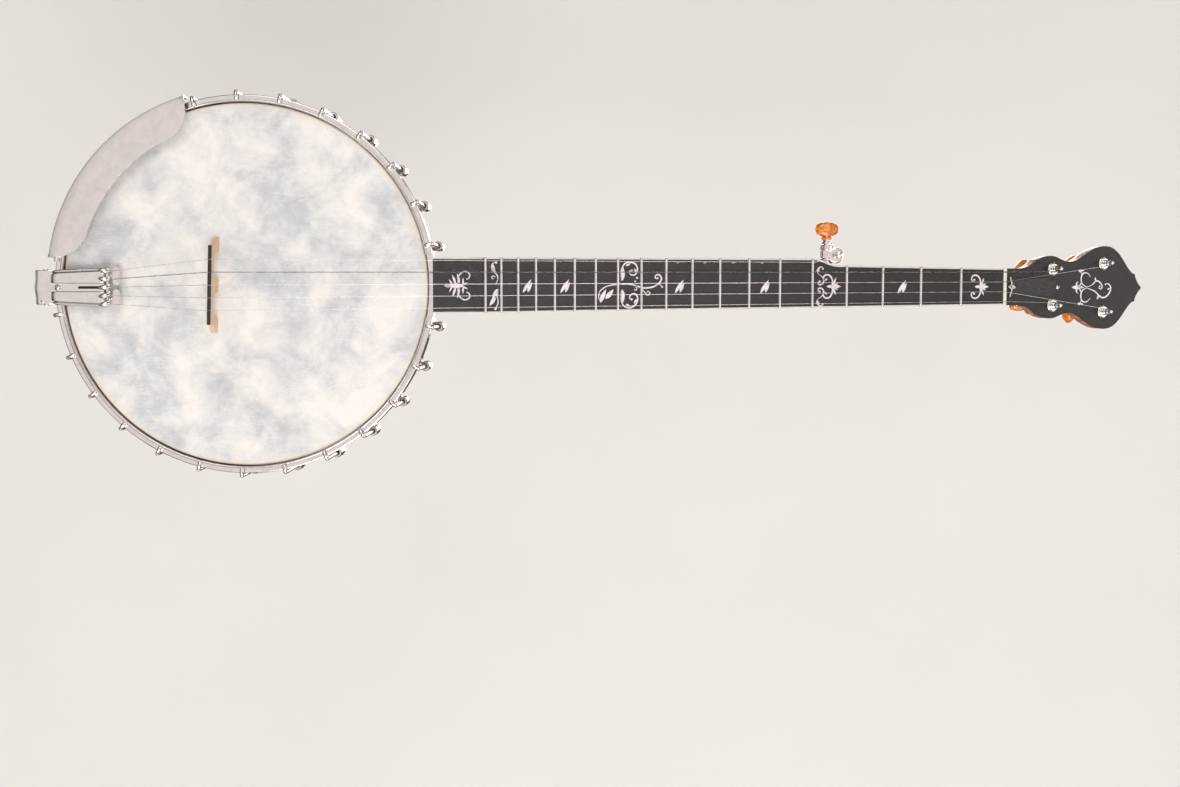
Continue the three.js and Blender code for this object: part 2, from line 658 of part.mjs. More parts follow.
function nut() {
  const half = NUT_HALF_WIDTH;
  const bottom = GLUE_GAP - BOARD_THICKNESS;
  const section = outline([
    [NUT_U, bottom],
    [NUT_U + NUT_THICKNESS, bottom],
    [NUT_U + NUT_THICKNESS, NUT_RISE - 1],
    [NUT_U + 0.6, NUT_RISE],
    [NUT_U, NUT_RISE],
  ]);
  return sidePlate(section, -half, half);
}

// ---- Peghead and pegs ---------------------------------------------------------------------------

function pegheadOverlay() {
  return cut(plate(pegheadShape(), -OVERLAY_THICKNESS, 0), ...pegHoles());
}

function trussRodCover() {
  const half = COVER_HALF_WIDTH;
  const start = 2;
  const end = start + COVER_LENGTH;
  const shape = new THREE.Shape();
  shape.moveTo(start, 0);
  shape.quadraticCurveTo(start + 3, half * 0.2, start + 3, half);
  shape.bezierCurveTo(start + 14, half * 0.75, start + 22, half, end - 12, half * 0.95);
  shape.bezierCurveTo(end - 4, half * 0.9, end - 2, half * 0.3, end, 0);
  shape.bezierCurveTo(end - 2, -half * 0.3, end - 4, -half * 0.9, end - 12, -half * 0.95);
  shape.bezierCurveTo(start + 22, -half, start + 14, -half * 0.75, start + 3, -half);
  shape.quadraticCurveTo(start + 3, -half * 0.2, start, 0);
  return plate(shape, GLUE_GAP, GLUE_GAP + COVER_THICKNESS, 4);
}

// A peg's parts, with the post's axis as z and z = 0 on the overlay's face.
const housingBack = CORE_BOTTOM - GAP - PEG_HOUSING[1];

function pegHousing() {
  const [bushRadius, bushHeight] = PEG_BUSHING;
  const bore = bar(POST_RADIUS + PEG_BORE_MARGIN, [0, 0, housingBack - 1], [0, 0, 5], 16);
  return cut(
    join(
      bar(bushRadius, [0, 0, GAP], [0, 0, bushHeight], 16),
      bar(PEG_BARREL_RADIUS, [0, 0, CORE_BOTTOM - 1], [0, 0, GAP + 0.5], 16),
      bar(PEG_HOUSING[0], [0, 0, housingBack], [0, 0, CORE_BOTTOM - GAP], 16),
    ),
    bore,
  );
}

function pegPost() {
  const bottom = housingBack + PLANETARY_GRIP + 1;
  return cut(
    join(
      bar(POST_RADIUS, [0, 0, bottom], [0, 0, POST_RISE - 0.8], 16),
      bar(POST_RADIUS, [0, 0, POST_RISE - 0.8], [0, 0, POST_RISE], 16, POST_RADIUS * 0.7),
    ),
    bar(0.7, [-5, 0, STRING_ON_POST + 1.5], [5, 0, STRING_ON_POST + 1.5], 6),
  );
}

// An oval knob of three lofted sizes, its long side along x.
function knob([long, wide, high], top) {
  const ring = (z, share) =>
    Array.from({ length: 12 }, (_, i) => {
      const angle = (i / 12) * 2 * Math.PI;
      return [(long / 2) * share * Math.cos(angle), (wide / 2) * share * Math.sin(angle), z];
    });
  return loft([
    ring(top, 0.42),
    ring(top - high * 0.2, 0.62),
    ring(top - high * 0.55, 1),
    ring(top - high * 0.85, 0.9),
    ring(top - high, 0.6),
  ]);
}

function pegButton() {
  return join(
    bar(POST_RADIUS, [0, 0, housingBack - 0.3], [0, 0, housingBack + PLANETARY_GRIP], 16),
    bar(BUTTON_SHAFT_RADIUS, [0, 0, housingBack - BUTTON_STANDOFF - 2], [0, 0, housingBack]),
    knob(BUTTON_SIZE, housingBack - BUTTON_STANDOFF),
  );
}

// ---- Fifth string's peg -------------------------------------------------------------------------

function pipPlace(w) {
  return [FIFTH_FRET_U + 0.2, BASS_HALF_WIDTH - 3.2, w];
}

// The barrel's inner end, clear of the neck where the neck is widest beside it.
function fifthShoulder() {
  return bassEdge(FIFTH_FRET_U + FIFTH_SHAFT_U - FIFTH_BARREL[0]) + GAP;
}

const fifthPlace = {
  post: [
    FIFTH_FRET_U + FIFTH_POST_U,
    bassEdge(FIFTH_FRET_U + FIFTH_POST_U) + FIFTH_CASE_CLEARANCE + FIFTH_CASE[0],
  ],
  caseTop: -FIFTH_AXIS_DEPTH + FIFTH_CASE[1] / 2,
  caseBottom: -FIFTH_AXIS_DEPTH - FIFTH_CASE[1] / 2,
};
const fifthBarrelEnd = fifthShoulder() + FIFTH_BARREL[1];

function fifthHousing() {
  const u = FIFTH_FRET_U + FIFTH_SHAFT_U;
  const v = fifthShoulder();
  const [postU, postV] = fifthPlace.post;
  const axis = (y) => [u, y, -FIFTH_AXIS_DEPTH];
  return cut(
    join(
      bar(FIFTH_SPIGOT_RADIUS, axis(v - FIFTH_SPIGOT_LENGTH), axis(v + 1)),
      bar(FIFTH_BARREL[0], axis(v), axis(fifthBarrelEnd), 16),
      bar(
        FIFTH_CASE[0],
        [postU, postV, fifthPlace.caseBottom],
        [postU, postV, fifthPlace.caseTop],
        16,
      ),
    ),
    bar(
      FIFTH_POST_RADIUS + PEG_BORE_MARGIN,
      [postU, postV, fifthPlace.caseBottom - 1],
      [postU, postV, fifthPlace.caseTop + 1],
      16,
    ),
    bar(BUTTON_SHAFT_RADIUS + PEG_BORE_MARGIN, axis(fifthBarrelEnd - 6), axis(fifthBarrelEnd + 1), 16),
  );
}

function fifthPost() {
  const [u, v] = fifthPlace.post;
  return cut(
    bar(FIFTH_POST_RADIUS, [u, v, fifthPlace.caseBottom + 0.5], [u, v, FIFTH_POST_RISE], 16),
    bar(0.7, [u - 5, v, FIFTH_STRING_RISE + 1.5], [u + 5, v, FIFTH_STRING_RISE + 1.5], 6),
  );
}

function fifthButton() {
  const u = FIFTH_FRET_U + FIFTH_SHAFT_U;
  const start = fifthBarrelEnd + FIFTH_BUTTON_STANDOFF;
  const turn = new THREE.Matrix4()
    .makeTranslation(u, start, -FIFTH_AXIS_DEPTH)
    .multiply(new THREE.Matrix4().makeRotationX(Math.PI / 2));
  return join(
    bar(
      BUTTON_SHAFT_RADIUS,
      [u, fifthBarrelEnd - 5, -FIFTH_AXIS_DEPTH],
      [u, start + 2, -FIFTH_AXIS_DEPTH],
      16,
    ),
    bar(
      BUTTON_SHAFT_RADIUS + 2,
      [u, fifthBarrelEnd + 0.6, -FIFTH_AXIS_DEPTH],
      [u, start + 1, -FIFTH_AXIS_DEPTH],
    ),
    moved(knob(FIFTH_BUTTON, 0), turn),
  );
}

// ---- Strings ------------------------------------------------------------------------------------

// A string as straight stretches between the points it bears on.
function stringAlong(points, radius) {
  const stretches = points.slice(1).map((to, i) => bar(radius, points[i], to, 6));
  const corners = points.slice(1, -1).map((at) => ball(radius * 1.05, at, 6));
  return join(...stretches, ...corners);
}

const inInstrument = (point, matrix) => new THREE.Vector3(...point).applyMatrix4(matrix).toArray();

// From its claw to the bridge's centre line, high enough to clear the edge of the bridge's top.
function tailAndBridge(i, radius) {
  const across = 2 - i;
  const start = [CLAW_X + 5.5, across * TAIL_STRING_SPACING, TAIL_PLATE_Z + TAIL_SHEET + 1.8];
  const y = across * BRIDGE_STRING_SPACING;
  const x = -BRIDGE_OFFSET - y * Math.tan(BRIDGE_ANGLE);
  const slope = Math.max(0, BRIDGE_HEIGHT - start[2]) / (x - start[0]);
  const edgeDrop = (BRIDGE_THICKNESS / 2 + radius) * slope;
  return [start, [x, y, BRIDGE_HEIGHT + STRING_GAP + radius + edgeDrop]];
}

function longString(i) {
  const radius = STRING_RADII[i];
  const nutV = (2.5 - i) * NUT_STRING_SPACING;
  const peg = pegPlaces[[0, 2, 3, 1][i - 1]];
  const side = Math.sign(peg.v);
  const offset = POST_RADIUS + radius + STRING_GAP;
  const overNut = inInstrument([NUT_U + 0.4, nutV, NUT_RISE + STRING_GAP + radius], neckMatrix);
  const atPost = inInstrument([peg.s, peg.v - side * offset, STRING_ON_POST], pegheadMatrix);
  return stringAlong([...tailAndBridge(i, radius), overNut, atPost], radius);
}

function fifthString() {
  const radius = STRING_RADII[0];
  const [u, v] = fifthPlace.post;
  const overPip = inInstrument(pipPlace(PIP_RISE + STRING_GAP + radius), neckMatrix);
  const atPost = inInstrument(
    [u, v - FIFTH_POST_RADIUS - radius - STRING_GAP, FIFTH_STRING_RISE],
    neckMatrix,
  );
  return stringAlong([...tailAndBridge(0, radius), overPip, atPost], radius);
}

// ---- Bridge, tailpiece and armrest --------------------------------------------------------------

function bridge() {
  const base = BRIDGE_BASE / 2;
  const top = BRIDGE_TOP / 2;
  const height = BRIDGE_HEIGHT;
  const footHalf = 5.5;
  const half = new THREE.Path();
  half.moveTo(footHalf, GAP);
  half.bezierCurveTo(footHalf + 1, height * 0.62, base - 12, height * 0.62, base - 10, GAP);
  half.lineTo(base, GAP);
  half.bezierCurveTo(base - 1, height * 0.3, top + 1, height * 0.5, top, height);
  const points = half.getPoints(6);
  const mirrored = [...points].reverse().map((p) => new THREE.Vector2(-p.x, p.y));
  const shape = new THREE.Shape([...points, ...mirrored]);
  const geometry = new THREE.ExtrudeGeometry(shape, { depth: BRIDGE_THICKNESS, bevelEnabled: false })
    .translate(0, 0, -BRIDGE_THICKNESS / 2)
    .rotateX(Math.PI / 2)
    .rotateZ(Math.PI / 2);
  return solid(geometry);
}

// A sheet-metal tailpiece: hanger, wrap over the hoop, body, string claws and front feet.
function tailpiece() {
  const top = TAIL_PLATE_Z + TAIL_SHEET;
  const base = TAIL_BASE_HALF_WIDTH;
  const wrapFoot = HOOP_BOTTOM - 4;
  const claws = STRING_RADII.map((_, i) => {
    const y = (2 - i) * TAIL_STRING_SPACING;
    return box([CLAW_X - 1, y - 1.6, top - 0.5], [CLAW_X + 4.5, y + 1.6, top + 2.6]);
  });
  const hanger = cut(
    box([HANGER_X, -HANGER_HALF_WIDTH, -ROD_DEPTH - 10], [HANGER_X + TAIL_SHEET, HANGER_HALF_WIDTH, top]),
    bar(
      LAG_BOLT_RADIUS + BOLT_HOLE_MARGIN,
      [HANGER_X - 5, 0, -ROD_DEPTH],
      [HANGER_X + 5, 0, -ROD_DEPTH],
    ),
  );
  const foot = (y0, y1) =>
    box([CLAW_X + 2, y0, TAIL_PLATE_Z], [CLAW_X + 12, y1, TAIL_PLATE_Z + 1.4]);
  return join(
    hanger,
    box([HANGER_X, -base, wrapFoot], [HANGER_X + TAIL_SHEET, base, top]),
    box([HANGER_X, -base, TAIL_PLATE_Z], [-HOOP_OUTER + 3, base, top]),
    box([-HOOP_OUTER, -TAIL_HALF_WIDTH, TAIL_PLATE_Z], [CLAW_X + 4, TAIL_HALF_WIDTH, top]),
    ...claws,
    foot(3, TAIL_HALF_WIDTH + 2.5),
    foot(-TAIL_HALF_WIDTH - 2.5, -3),
  );
}

// A curved sheet over the hoop with a skirt, on two clamps that reach under the hoop.
function armrest() {
  const [a0, a1] = ARMREST_ANGLES.map(THREE.MathUtils.degToRad);
  const outer = HOOK_RADIUS + HOOK_WIRE_RADIUS + GAP + ARMREST_SHEET;
  const inner = outer - ARMREST_WIDTH;
  const under = HOOK_TOP + HOOK_WIRE_RADIUS + 2 * GAP;
  const corner = (radius, angle) => [radius * Math.cos(angle), radius * Math.sin(angle)];
  const arcPoints = (radius, from, to, steps) =>
    Array.from({ length: steps + 1 }, (_, i) => corner(radius, from + ((to - from) * i) / steps));
  const round = (from, to, pull) =>
    [0.15, 0.35, 0.6, 0.85].map((t) => {
      const radius = THREE.MathUtils.lerp(from[0], to[0], t ** pull);
      const angle = THREE.MathUtils.lerp(from[1], to[1], 1 - (1 - t) ** pull);
      return corner(radius, angle);
    });
  const turnIn = 0.16;
  const sheet = plate(
    outline([
      ...arcPoints(outer, a0, a1, 14),
      ...round([outer, a1], [inner, a1 - turnIn], 1.7),
      ...arcPoints(inner, a1 - turnIn, a0 + turnIn, 12),
      ...round([inner, a0 + turnIn], [outer, a0], 0.6),
    ]),
    under,
    under + ARMREST_SHEET,
  );
  const skirt = plate(
    outline([
      ...arcPoints(outer, a0, a1, 14),
      ...arcPoints(outer - ARMREST_SHEET, a1, a0, 14),
    ]),
    under - ARMREST_SKIRT,
    under + 0.5,
  );
  const clampFoot = FLESH_HOOP_BOTTOM - 2.5;
  const clamps = ARMREST_CLAMP_HOOKS.map((hook) => {
    const angle = THREE.MathUtils.degToRad(FIRST_HOOK_ANGLE + HOOK_ANGLE_STEP * hook);
    const half = ARMREST_CLAMP_WIDTH / 2;
    const leg = join(
      box([outer - ARMREST_SHEET - 0.4, -half, clampFoot - 2], [outer - 0.4, half, under + 0.5]),
      box([RIM_RADIUS + 2, -half, clampFoot - 2], [outer - 0.5, half, clampFoot]),
    );
    return moved(leg, new THREE.Matrix4().makeRotationZ(angle));
  });
  return join(sheet, skirt, ...clamps);
}

// ---- The assembly -------------------------------------------------------------------------------

node("rim", rim(), "rim_maple");
node("tone_ring", toneRing(), "nickel");
node("drum_head", drumHead(), "head");
node("tension_hoop", tensionHoop(), "nickel");
node("coordinator_rod", coordinatorRod(), "nickel");

const oneBracket = bracket();
hookAngles.forEach((angle, i) => {
  const name = "bracket_" + String(i + 1).padStart(2, "0");
  node(name, oneBracket, "nickel").rotation.z = THREE.MathUtils.degToRad(angle);
});

node("neck", neck(), "maple", neckFrame);
node("heel_cap", heelCap(), "ebony", neckFrame);
node("fretboard", fretboard(), "ebony", neckFrame);
node("nut", nut(), "bone", neckFrame);
node("peghead_overlay", pegheadOverlay(), "ebony", pegheadFrame);
node("truss_rod_cover", trussRodCover(), "ebony", pegheadFrame);

pegPlaces.forEach(({ name, s, v }) => {
  const housing = node("peg_housing_" + name, pegHousing(), "nickel", pegheadFrame);
  const post = node("peg_post_" + name, pegPost(), "nickel", pegheadFrame);
  const button = node("peg_button_" + name, pegButton(), "amber", pegheadFrame);
  [housing, post, button].forEach((piece) => piece.position.set(s, v, 0));
});
node("peg_housing_fifth", fifthHousing(), "nickel", neckFrame);
node("peg_post_fifth", fifthPost(), "nickel", neckFrame);
node("peg_button_fifth", fifthButton(), "amber", neckFrame);

node("string_fifth", fifthString(), "steel");
["fourth", "third", "second", "first"].forEach((name, i) => {
  node("string_" + name, longString(i + 1), "steel");
});

const bridgeMesh = node("bridge", bridge(), "bridge_maple");
bridgeMesh.position.x = -BRIDGE_OFFSET;
bridgeMesh.rotation.z = BRIDGE_ANGLE;
node("tailpiece", tailpiece(), "nickel");
node("armrest", armrest(), "nickel");

export default banjo;
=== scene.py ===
# The look of the open-back five-string banjo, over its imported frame.
# Pieces are drawn in millimetres in three nested frames, as the instrument is measured:
#   INSTRUMENT  x towards the peghead, y to the fifth string's side, z out of the head
#   NECK        x along the fretboard from its pot end, y across it, z up from its face
#   PEGHEAD     x along the peghead from the nut, y across it, z up from its face
import bpy, bmesh, math
from mathutils import Matrix, Vector


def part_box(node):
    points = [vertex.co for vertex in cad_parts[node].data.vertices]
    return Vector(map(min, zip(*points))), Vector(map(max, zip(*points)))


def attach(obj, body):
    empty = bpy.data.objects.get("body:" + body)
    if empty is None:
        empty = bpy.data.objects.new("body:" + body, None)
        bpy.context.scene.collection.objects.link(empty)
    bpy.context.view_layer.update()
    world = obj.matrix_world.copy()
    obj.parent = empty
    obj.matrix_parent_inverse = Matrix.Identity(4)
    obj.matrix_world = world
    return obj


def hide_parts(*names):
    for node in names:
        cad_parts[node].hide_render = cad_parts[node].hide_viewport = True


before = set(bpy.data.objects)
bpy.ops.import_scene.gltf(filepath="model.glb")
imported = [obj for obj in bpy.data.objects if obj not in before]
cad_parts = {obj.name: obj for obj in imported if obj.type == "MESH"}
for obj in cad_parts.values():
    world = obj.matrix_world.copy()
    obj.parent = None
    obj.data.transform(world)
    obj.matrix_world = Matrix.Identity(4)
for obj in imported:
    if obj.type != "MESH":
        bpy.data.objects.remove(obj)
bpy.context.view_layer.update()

pi, sin, cos, rad = math.pi, math.sin, math.cos, math.radians

# ---- Sizes, in mm ----
RIM_R, RIM_WALL, POT_DEPTH = 149.2, 17, 70.0
HOOP_BOTTOM, HOOK_R, SHOE_Z, ROD_Z = -10.5, 158.6, -38, -42.0
BOARD_END, BOARD_FACE, BOARD_T = 154.5, 1.2, 5.0
PITCH, TILT = rad(3.2), rad(13)
SCALE, BRIDGE_X, BRIDGE_TOP = 666.75, -25.3, 16.5
NUT_U = (SCALE + BRIDGE_X - BOARD_END) / cos(PITCH)
NUT_T = 3.4
PEG_U = NUT_U + NUT_T + 0.3 + 2 * sin(TILT)
PEG_DROP, CORE_T = 3.3, 13
HEEL_END, HEEL_W, BASS_W, NUT_W = 46, 23.2, 23.6, 15.9
PEGS = {"fourth": (48.2, 15.9), "first": (48.2, -15.9), "third": (102.5, 21.5), "second": (102.5, -21.5)}
HOOK_STEP, FIRST_HOOK = 13.2, 12.6  # degrees round the pot
HOOKS = [s * (FIRST_HOOK + HOOK_STEP * k) for s in (1, -1) for k in range(13)]
# strings, from the fifth to the first: radii, and their spacing at the bridge, the nut and the claws
STRINGS = {"fifth": 0.17, "fourth": 0.36, "third": 0.24, "second": 0.2, "first": 0.17}
BRIDGE_SPACING, NUT_SPACING, CLAW_SPACING = 10.45, 8.4, 6.7
CLAW_X, TAIL_TOP, TAIL_Y = -110.4, 6.4, -1.9


def fret_u(n):
    return NUT_U - SCALE * (1 - 2 ** (-n / 12))


FIFTH = fret_u(5)
FIFTH_POST_U = FIFTH + 21.5


def move(x, y, z):
    return Matrix.Translation((x, y, z))


def turn(degrees, axis="Z"):
    return Matrix.Rotation(rad(degrees), 4, axis)


# ---- Frames ----
head_low, head_high = (Vector(c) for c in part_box("drum_head"))
TURN = Matrix(((0, -1, 0, 0), (0, 0, -1, 0), (1, 0, 0, 0), (0, 0, 0, 1)))
INSTRUMENT = (
    move((head_low.x + head_high.x) / 2, head_low.y, (head_low.z + head_high.z) / 2)
    @ TURN @ Matrix.Scale(0.001, 4)
)
NECK = INSTRUMENT @ move(BOARD_END, 0, BOARD_FACE) @ Matrix.Rotation(PITCH, 4, "Y")
PEGHEAD = NECK @ move(PEG_U, 0, -PEG_DROP) @ Matrix.Rotation(TILT, 4, "Y")


# ---- Materials ----
def rgb(code):
    """A #rrggbb colour as linear values."""
    parts = [int(code[i:i + 2], 16) / 255 for i in (1, 3, 5)]
    return tuple(c / 12.92 if c <= 0.04045 else ((c + 0.055) / 1.055) ** 2.4 for c in parts) + (1,)


class Nodes:
    """The node tree of a material or a world."""

    def __init__(self, owner):
        owner.use_nodes = True
        self.owner, self.tree = owner, owner.node_tree
        self.tree.nodes.clear()

    def feed(self, socket, value):
        """An input's value, or the other node's output that it comes from."""
        if isinstance(value, bpy.types.NodeSocket):
            self.tree.links.new(value, socket)
        else:
            socket.default_value = value

    def add(self, kind, inputs=None, **props):
        node = self.tree.nodes.new(kind)
        for key, value in props.items():
            setattr(node, key, value)
        for key, value in (inputs or {}).items():
            self.feed(node.inputs[key], value)
        return node

    def set(self, name, value):
        self.feed(self.bsdf.inputs[name], value)

    def place(self, scale=(1, 1, 1), turned=(0, 0, 0)):
        """Local coordinates in mm, stretched."""
        local = self.add("ShaderNodeTexCoord").outputs["Object"]
        return self.add("ShaderNodeMapping", {0: local, "Scale": scale, "Rotation": turned}).outputs[0]

    def speckle(self, vector, scale, detail=4, rough=0.5, distort=0):
        return self.add("ShaderNodeTexNoise", {"Vector": vector, "Scale": scale, "Detail": detail,
                                               "Roughness": rough, "Distortion": distort}).outputs[0]

    def ramp(self, value, *stops, ease="LINEAR"):
        node = self.add("ShaderNodeValToRGB", {0: value})
        node.color_ramp.interpolation = ease
        while len(node.color_ramp.elements) < len(stops):
            node.color_ramp.elements.new(0.5)
        for element, (at, colour) in zip(node.color_ramp.elements, stops):
            element.position = at
            element.color = rgb(colour) if isinstance(colour, str) else (colour, colour, colour, 1)
        return node.outputs[0]

    def mix(self, factor, a, b, how="MIX"):
        return self.add("ShaderNodeMix", {0: factor, 6: a, 7: b}, data_type="RGBA", blend_type=how).outputs[2]

    def maths(self, how, a, b=0):
        return self.add("ShaderNodeMath", {0: a, 1: b}, operation=how).outputs[0]

    def times(self, a, b):
        return self.maths("MULTIPLY", a, b)

    def plus(self, a, b):
        return self.maths("ADD", a, b)

    def remap(self, value, low, high, to_low=0, to_high=1):
        return self.add("ShaderNodeMapRange", {0: value, 1: low, 2: high, 3: to_low, 4: to_high}).outputs[0]

    def bump(self, height, distance, strength):
        node = self.add("ShaderNodeBump", {"Height": height, "Distance": distance, "Strength": strength})
        self.set("Normal", node.outputs[0])

    def split(self, vector):
        return self.add("ShaderNodeSeparateXYZ", {0: vector}).outputs

    def join(self, x, y=0, z=0):
        return self.add("ShaderNodeCombineXYZ", {0: x, 1: y, 2: z}).outputs[0]

    def polar(self):
        """Local coordinates as (length round a circle of 140 mm, radius, z)."""
        x, y, z = self.split(self.add("ShaderNodeTexCoord").outputs["Object"])
        radius = self.maths("SQRT", self.plus(self.times(x, x), self.times(y, y)))
        return self.times(self.maths("ARCTAN2", y, x), 140), radius, z


def material(name, **shader):
    """A principled material's nodes."""
    n = Nodes(bpy.data.materials.new(name))
    n.bsdf = n.add("ShaderNodeBsdfPrincipled", shader)
    n.out = n.add("ShaderNodeOutputMaterial", {0: n.bsdf.outputs[0]})
    return n


def nickel_plate():
    """Polished nickel: warm mirror, with faint smears and fine polishing marks."""
    n = material("nickel_plate", Metallic=1)
    smears = n.speckle(n.place(), 0.09, 5, 0.6, 0.8)
    fine = n.speckle(n.place((1, 1, 6)), 1.4, 3)
    n.set("Base Color", n.ramp(smears, (0.3, "#ddd8d6"), (0.7, "#e9e5e3")))
    n.set("Roughness", n.remap(smears, 0.35, 0.75, 0.07, 0.17))
    n.bump(fine, 0.002, 0.05)
    return n.owner


def steel_wire(name="plain_string_wire", wound=False):
    """Bright drawn wire; the wound string shows its wrap."""
    n = material(name, Metallic=1)
    along = n.speckle(n.place((0.05, 1, 1)), 2, 3)
    n.set("Base Color", n.ramp(along, (0.3, "#cfccca"), (0.7, "#efedeb")))
    n.set("Roughness", n.remap(along, 0.3, 0.7, 0.2, 0.32))
    if wound:
        wrap = n.add("ShaderNodeTexWave", {"Vector": n.place(), "Scale": 1.1, "Distortion": 0.0}).outputs[1]
        n.bump(wrap, 0.12, 1)
    return n.owner


def flamed_maple(name, dark, mid, light, flame=0.17):
    """Amber-stained flamed maple under gloss lacquer: ripples across the grain, fine pores along it."""
    n = material(name, Roughness=0.3)
    n.set("Coat Weight", 0.55)
    n.set("Coat Roughness", 0.06)
    sway = n.speckle(n.place((0.4, 1, 1)), 0.05, 3, 0.5)
    coords = n.place((1, 0.16, 0.16))
    bent = n.add("ShaderNodeVectorMath", {0: coords, 1: n.join(n.times(sway, 16))},
                 operation="ADD").outputs[0]
    ripples = n.speckle(bent, flame, 2, 0.55, 0.25)
    curl = n.add("ShaderNodeTexWave", {"Vector": bent, "Scale": flame * 0.31, "Distortion": 2.6,
                                            "Detail": 2, "Detail Scale": 0.8}, wave_profile="SIN").outputs[1]
    flames = n.plus(n.times(ripples, 0.62), n.times(curl, 0.38))
    figure = n.ramp(flames, (0.24, dark), (0.5, mid), (0.76, light), ease="EASE")
    pores = n.speckle(n.place((0.03, 1, 1)), 1.6, 4, 0.6)
    shade = n.ramp(pores, (0.35, "#c9b7a4"), (0.6, "#ffffff"))
    cloud = n.ramp(n.speckle(n.place((0.3, 1, 1)), 0.03, 3), (0.35, "#e6cdb4"), (0.65, "#ffffff"))
    colour = n.mix(0.5, figure, shade, "MULTIPLY")
    n.set("Base Color", n.mix(0.6, colour, cloud, "MULTIPLY"))
    n.bump(pores, 0.02, 0.15)
    return n.owner


def bent_maple():
    """The rim: plies of maple bent round, amber outside and on the back edge, with painted shade darkening
    its inner wall.
    """
    n = material("bent_rim_maple", Roughness=0.32)
    n.set("Coat Weight", 0.5)
    n.set("Coat Roughness", 0.08)
    along, radius, z = n.polar()
    grain = n.speckle(n.join(n.times(along, 0.03), n.times(radius, 1.3), n.times(z, 0.9)), 0.9, 5, 0.65, 0.4)
    flame = n.speckle(n.join(along, n.times(radius, 0.12), n.times(z, 0.12)), 0.13, 3, 0.5, 0.5)
    wood = n.ramp(grain, (0.3, "#9c5a17"), (0.52, "#c47a25"), (0.75, "#dc9a43"))
    wood = n.mix(0.55, wood, n.ramp(flame, (0.35, "#c09873"), (0.65, "#ffffff")), "MULTIPLY")
    # painted shade: the inner wall is multiplied darker, as if in shadow
    inside = n.maths("LESS_THAN", radius, RIM_R - RIM_WALL + 0.35)
    wood = n.mix(inside, wood, n.mix(1, wood, rgb("#c0978a"), "MULTIPLY"))
    ply = n.maths("PINGPONG", n.plus(radius, 1.3), 2.85)
    line = n.maths("LESS_THAN", ply, 0.12)
    wood = n.mix(n.times(line, 0.45), wood, rgb("#6d3c15"))
    n.set("Base Color", wood)
    n.bump(grain, 0.03, 0.2)
    return n.owner


def ebony(name="oiled_ebony", tone="#1d1a1b", rough=0.34):
    """Oiled ebony: nearly black, with short open pores along the grain."""
    n = material(name)
    streaks = n.speckle(n.place((0.035, 1, 1)), 0.8, 5, 0.6)
    pores = n.speckle(n.place((0.12, 1, 1)), 3.2, 3, 0.7)
    base = n.ramp(streaks, (0.3, "#131112"), (0.55, tone), (0.8, "#2b2524"))
    pitted = n.ramp(pores, (0.36, 0.35), (0.46, 1))
    n.set("Base Color", n.mix(0.5, base, pitted, "MULTIPLY"))
    n.set("Roughness", n.remap(streaks, 0.3, 0.7, rough - 0.06, rough + 0.08))
    n.bump(pitted, 0.03, 0.25)
    return n.owner


def skin_head():
    """A frosted film head printed like calfskin: cloudy grey patches, white fibres, a cream edge."""
    n = material("skin_pattern_head", Roughness=0.5)
    at = n.place()
    clouds = n.speckle(at, 0.025, 8, 0.66, 0.3)
    blotch = n.speckle(n.place((1, 1, 1), (0, 0, 0.7)), 0.011, 2, 0.4, 0.2)
    cloudy = n.plus(n.times(clouds, 0.7), n.times(blotch, 0.3))
    film = n.ramp(cloudy, (0.37, "#c3c7cb"), (0.44, "#d3d6d9"), (0.5, "#e7e7e7"), (0.58, "#f8f5f2"))
    # pale fibres that cross at all angles
    for angle, shift in ((0.3, 0), (1.2, 40), (1.9, 90), (2.7, 150)):
        lines = n.speckle(n.place((0.16, 1, 1), (0, 0, angle)), 0.22, 3, 0.6, 0.7)
        ridge = n.maths("ABSOLUTE", n.maths("SUBTRACT", lines, 0.5))
        fibre = n.remap(ridge, 0, 0.02, 1, 0)
        patches = n.ramp(n.speckle(n.place((1, 1, 1), (0, 0, shift)), 0.03, 2), (0.48, 0), (0.62, 0.42))
        film = n.mix(n.times(fibre, patches), film, rgb("#fbf9f7"))
    _, radius, _ = n.polar()
    edge = n.remap(n.plus(radius, n.times(clouds, 7)), 147, 154)
    film = n.mix(n.times(edge, 0.6), film, rgb("#f4e3d0"))
    n.set("Base Color", film)
    n.set("Roughness", n.remap(clouds, 0.3, 0.7, 0.42, 0.6))
    n.bump(n.speckle(at, 1.2, 3), 0.02, 0.25)
    return n.owner


def bone():
    """Polished bone, with faint darker flecks."""
    n = material("polished_bone", Roughness=0.32)
    flecks = n.speckle(n.place((1, 0.25, 1)), 1.2, 4, 0.6)
    n.set("Base Color", n.ramp(flecks, (0.3, "#dcd5bf"), (0.6, "#f4f1e6")))
    n.bump(flecks, 0.02, 0.15)
    return n.owner


def bridge_maple():
    """Bare quartersawn maple: straight lines along the bridge and short ray flecks."""
    n = material("bare_bridge_maple", Roughness=0.55)
    lines = n.speckle(n.place((1.4, 0.03, 1)), 1.1, 4, 0.6)
    flecks = n.speckle(n.place((1, 0.5, 2)), 1.6, 2)
    wood = n.ramp(lines, (0.3, "#dcb48c"), (0.6, "#f0d6b8"))
    n.set("Base Color", n.mix(0.3, wood, n.ramp(flecks, (0.4, "#d9b48e"), (0.55, "#ffffff")), "MULTIPLY"))
    n.bump(lines, 0.03, 0.3)
    return n.owner


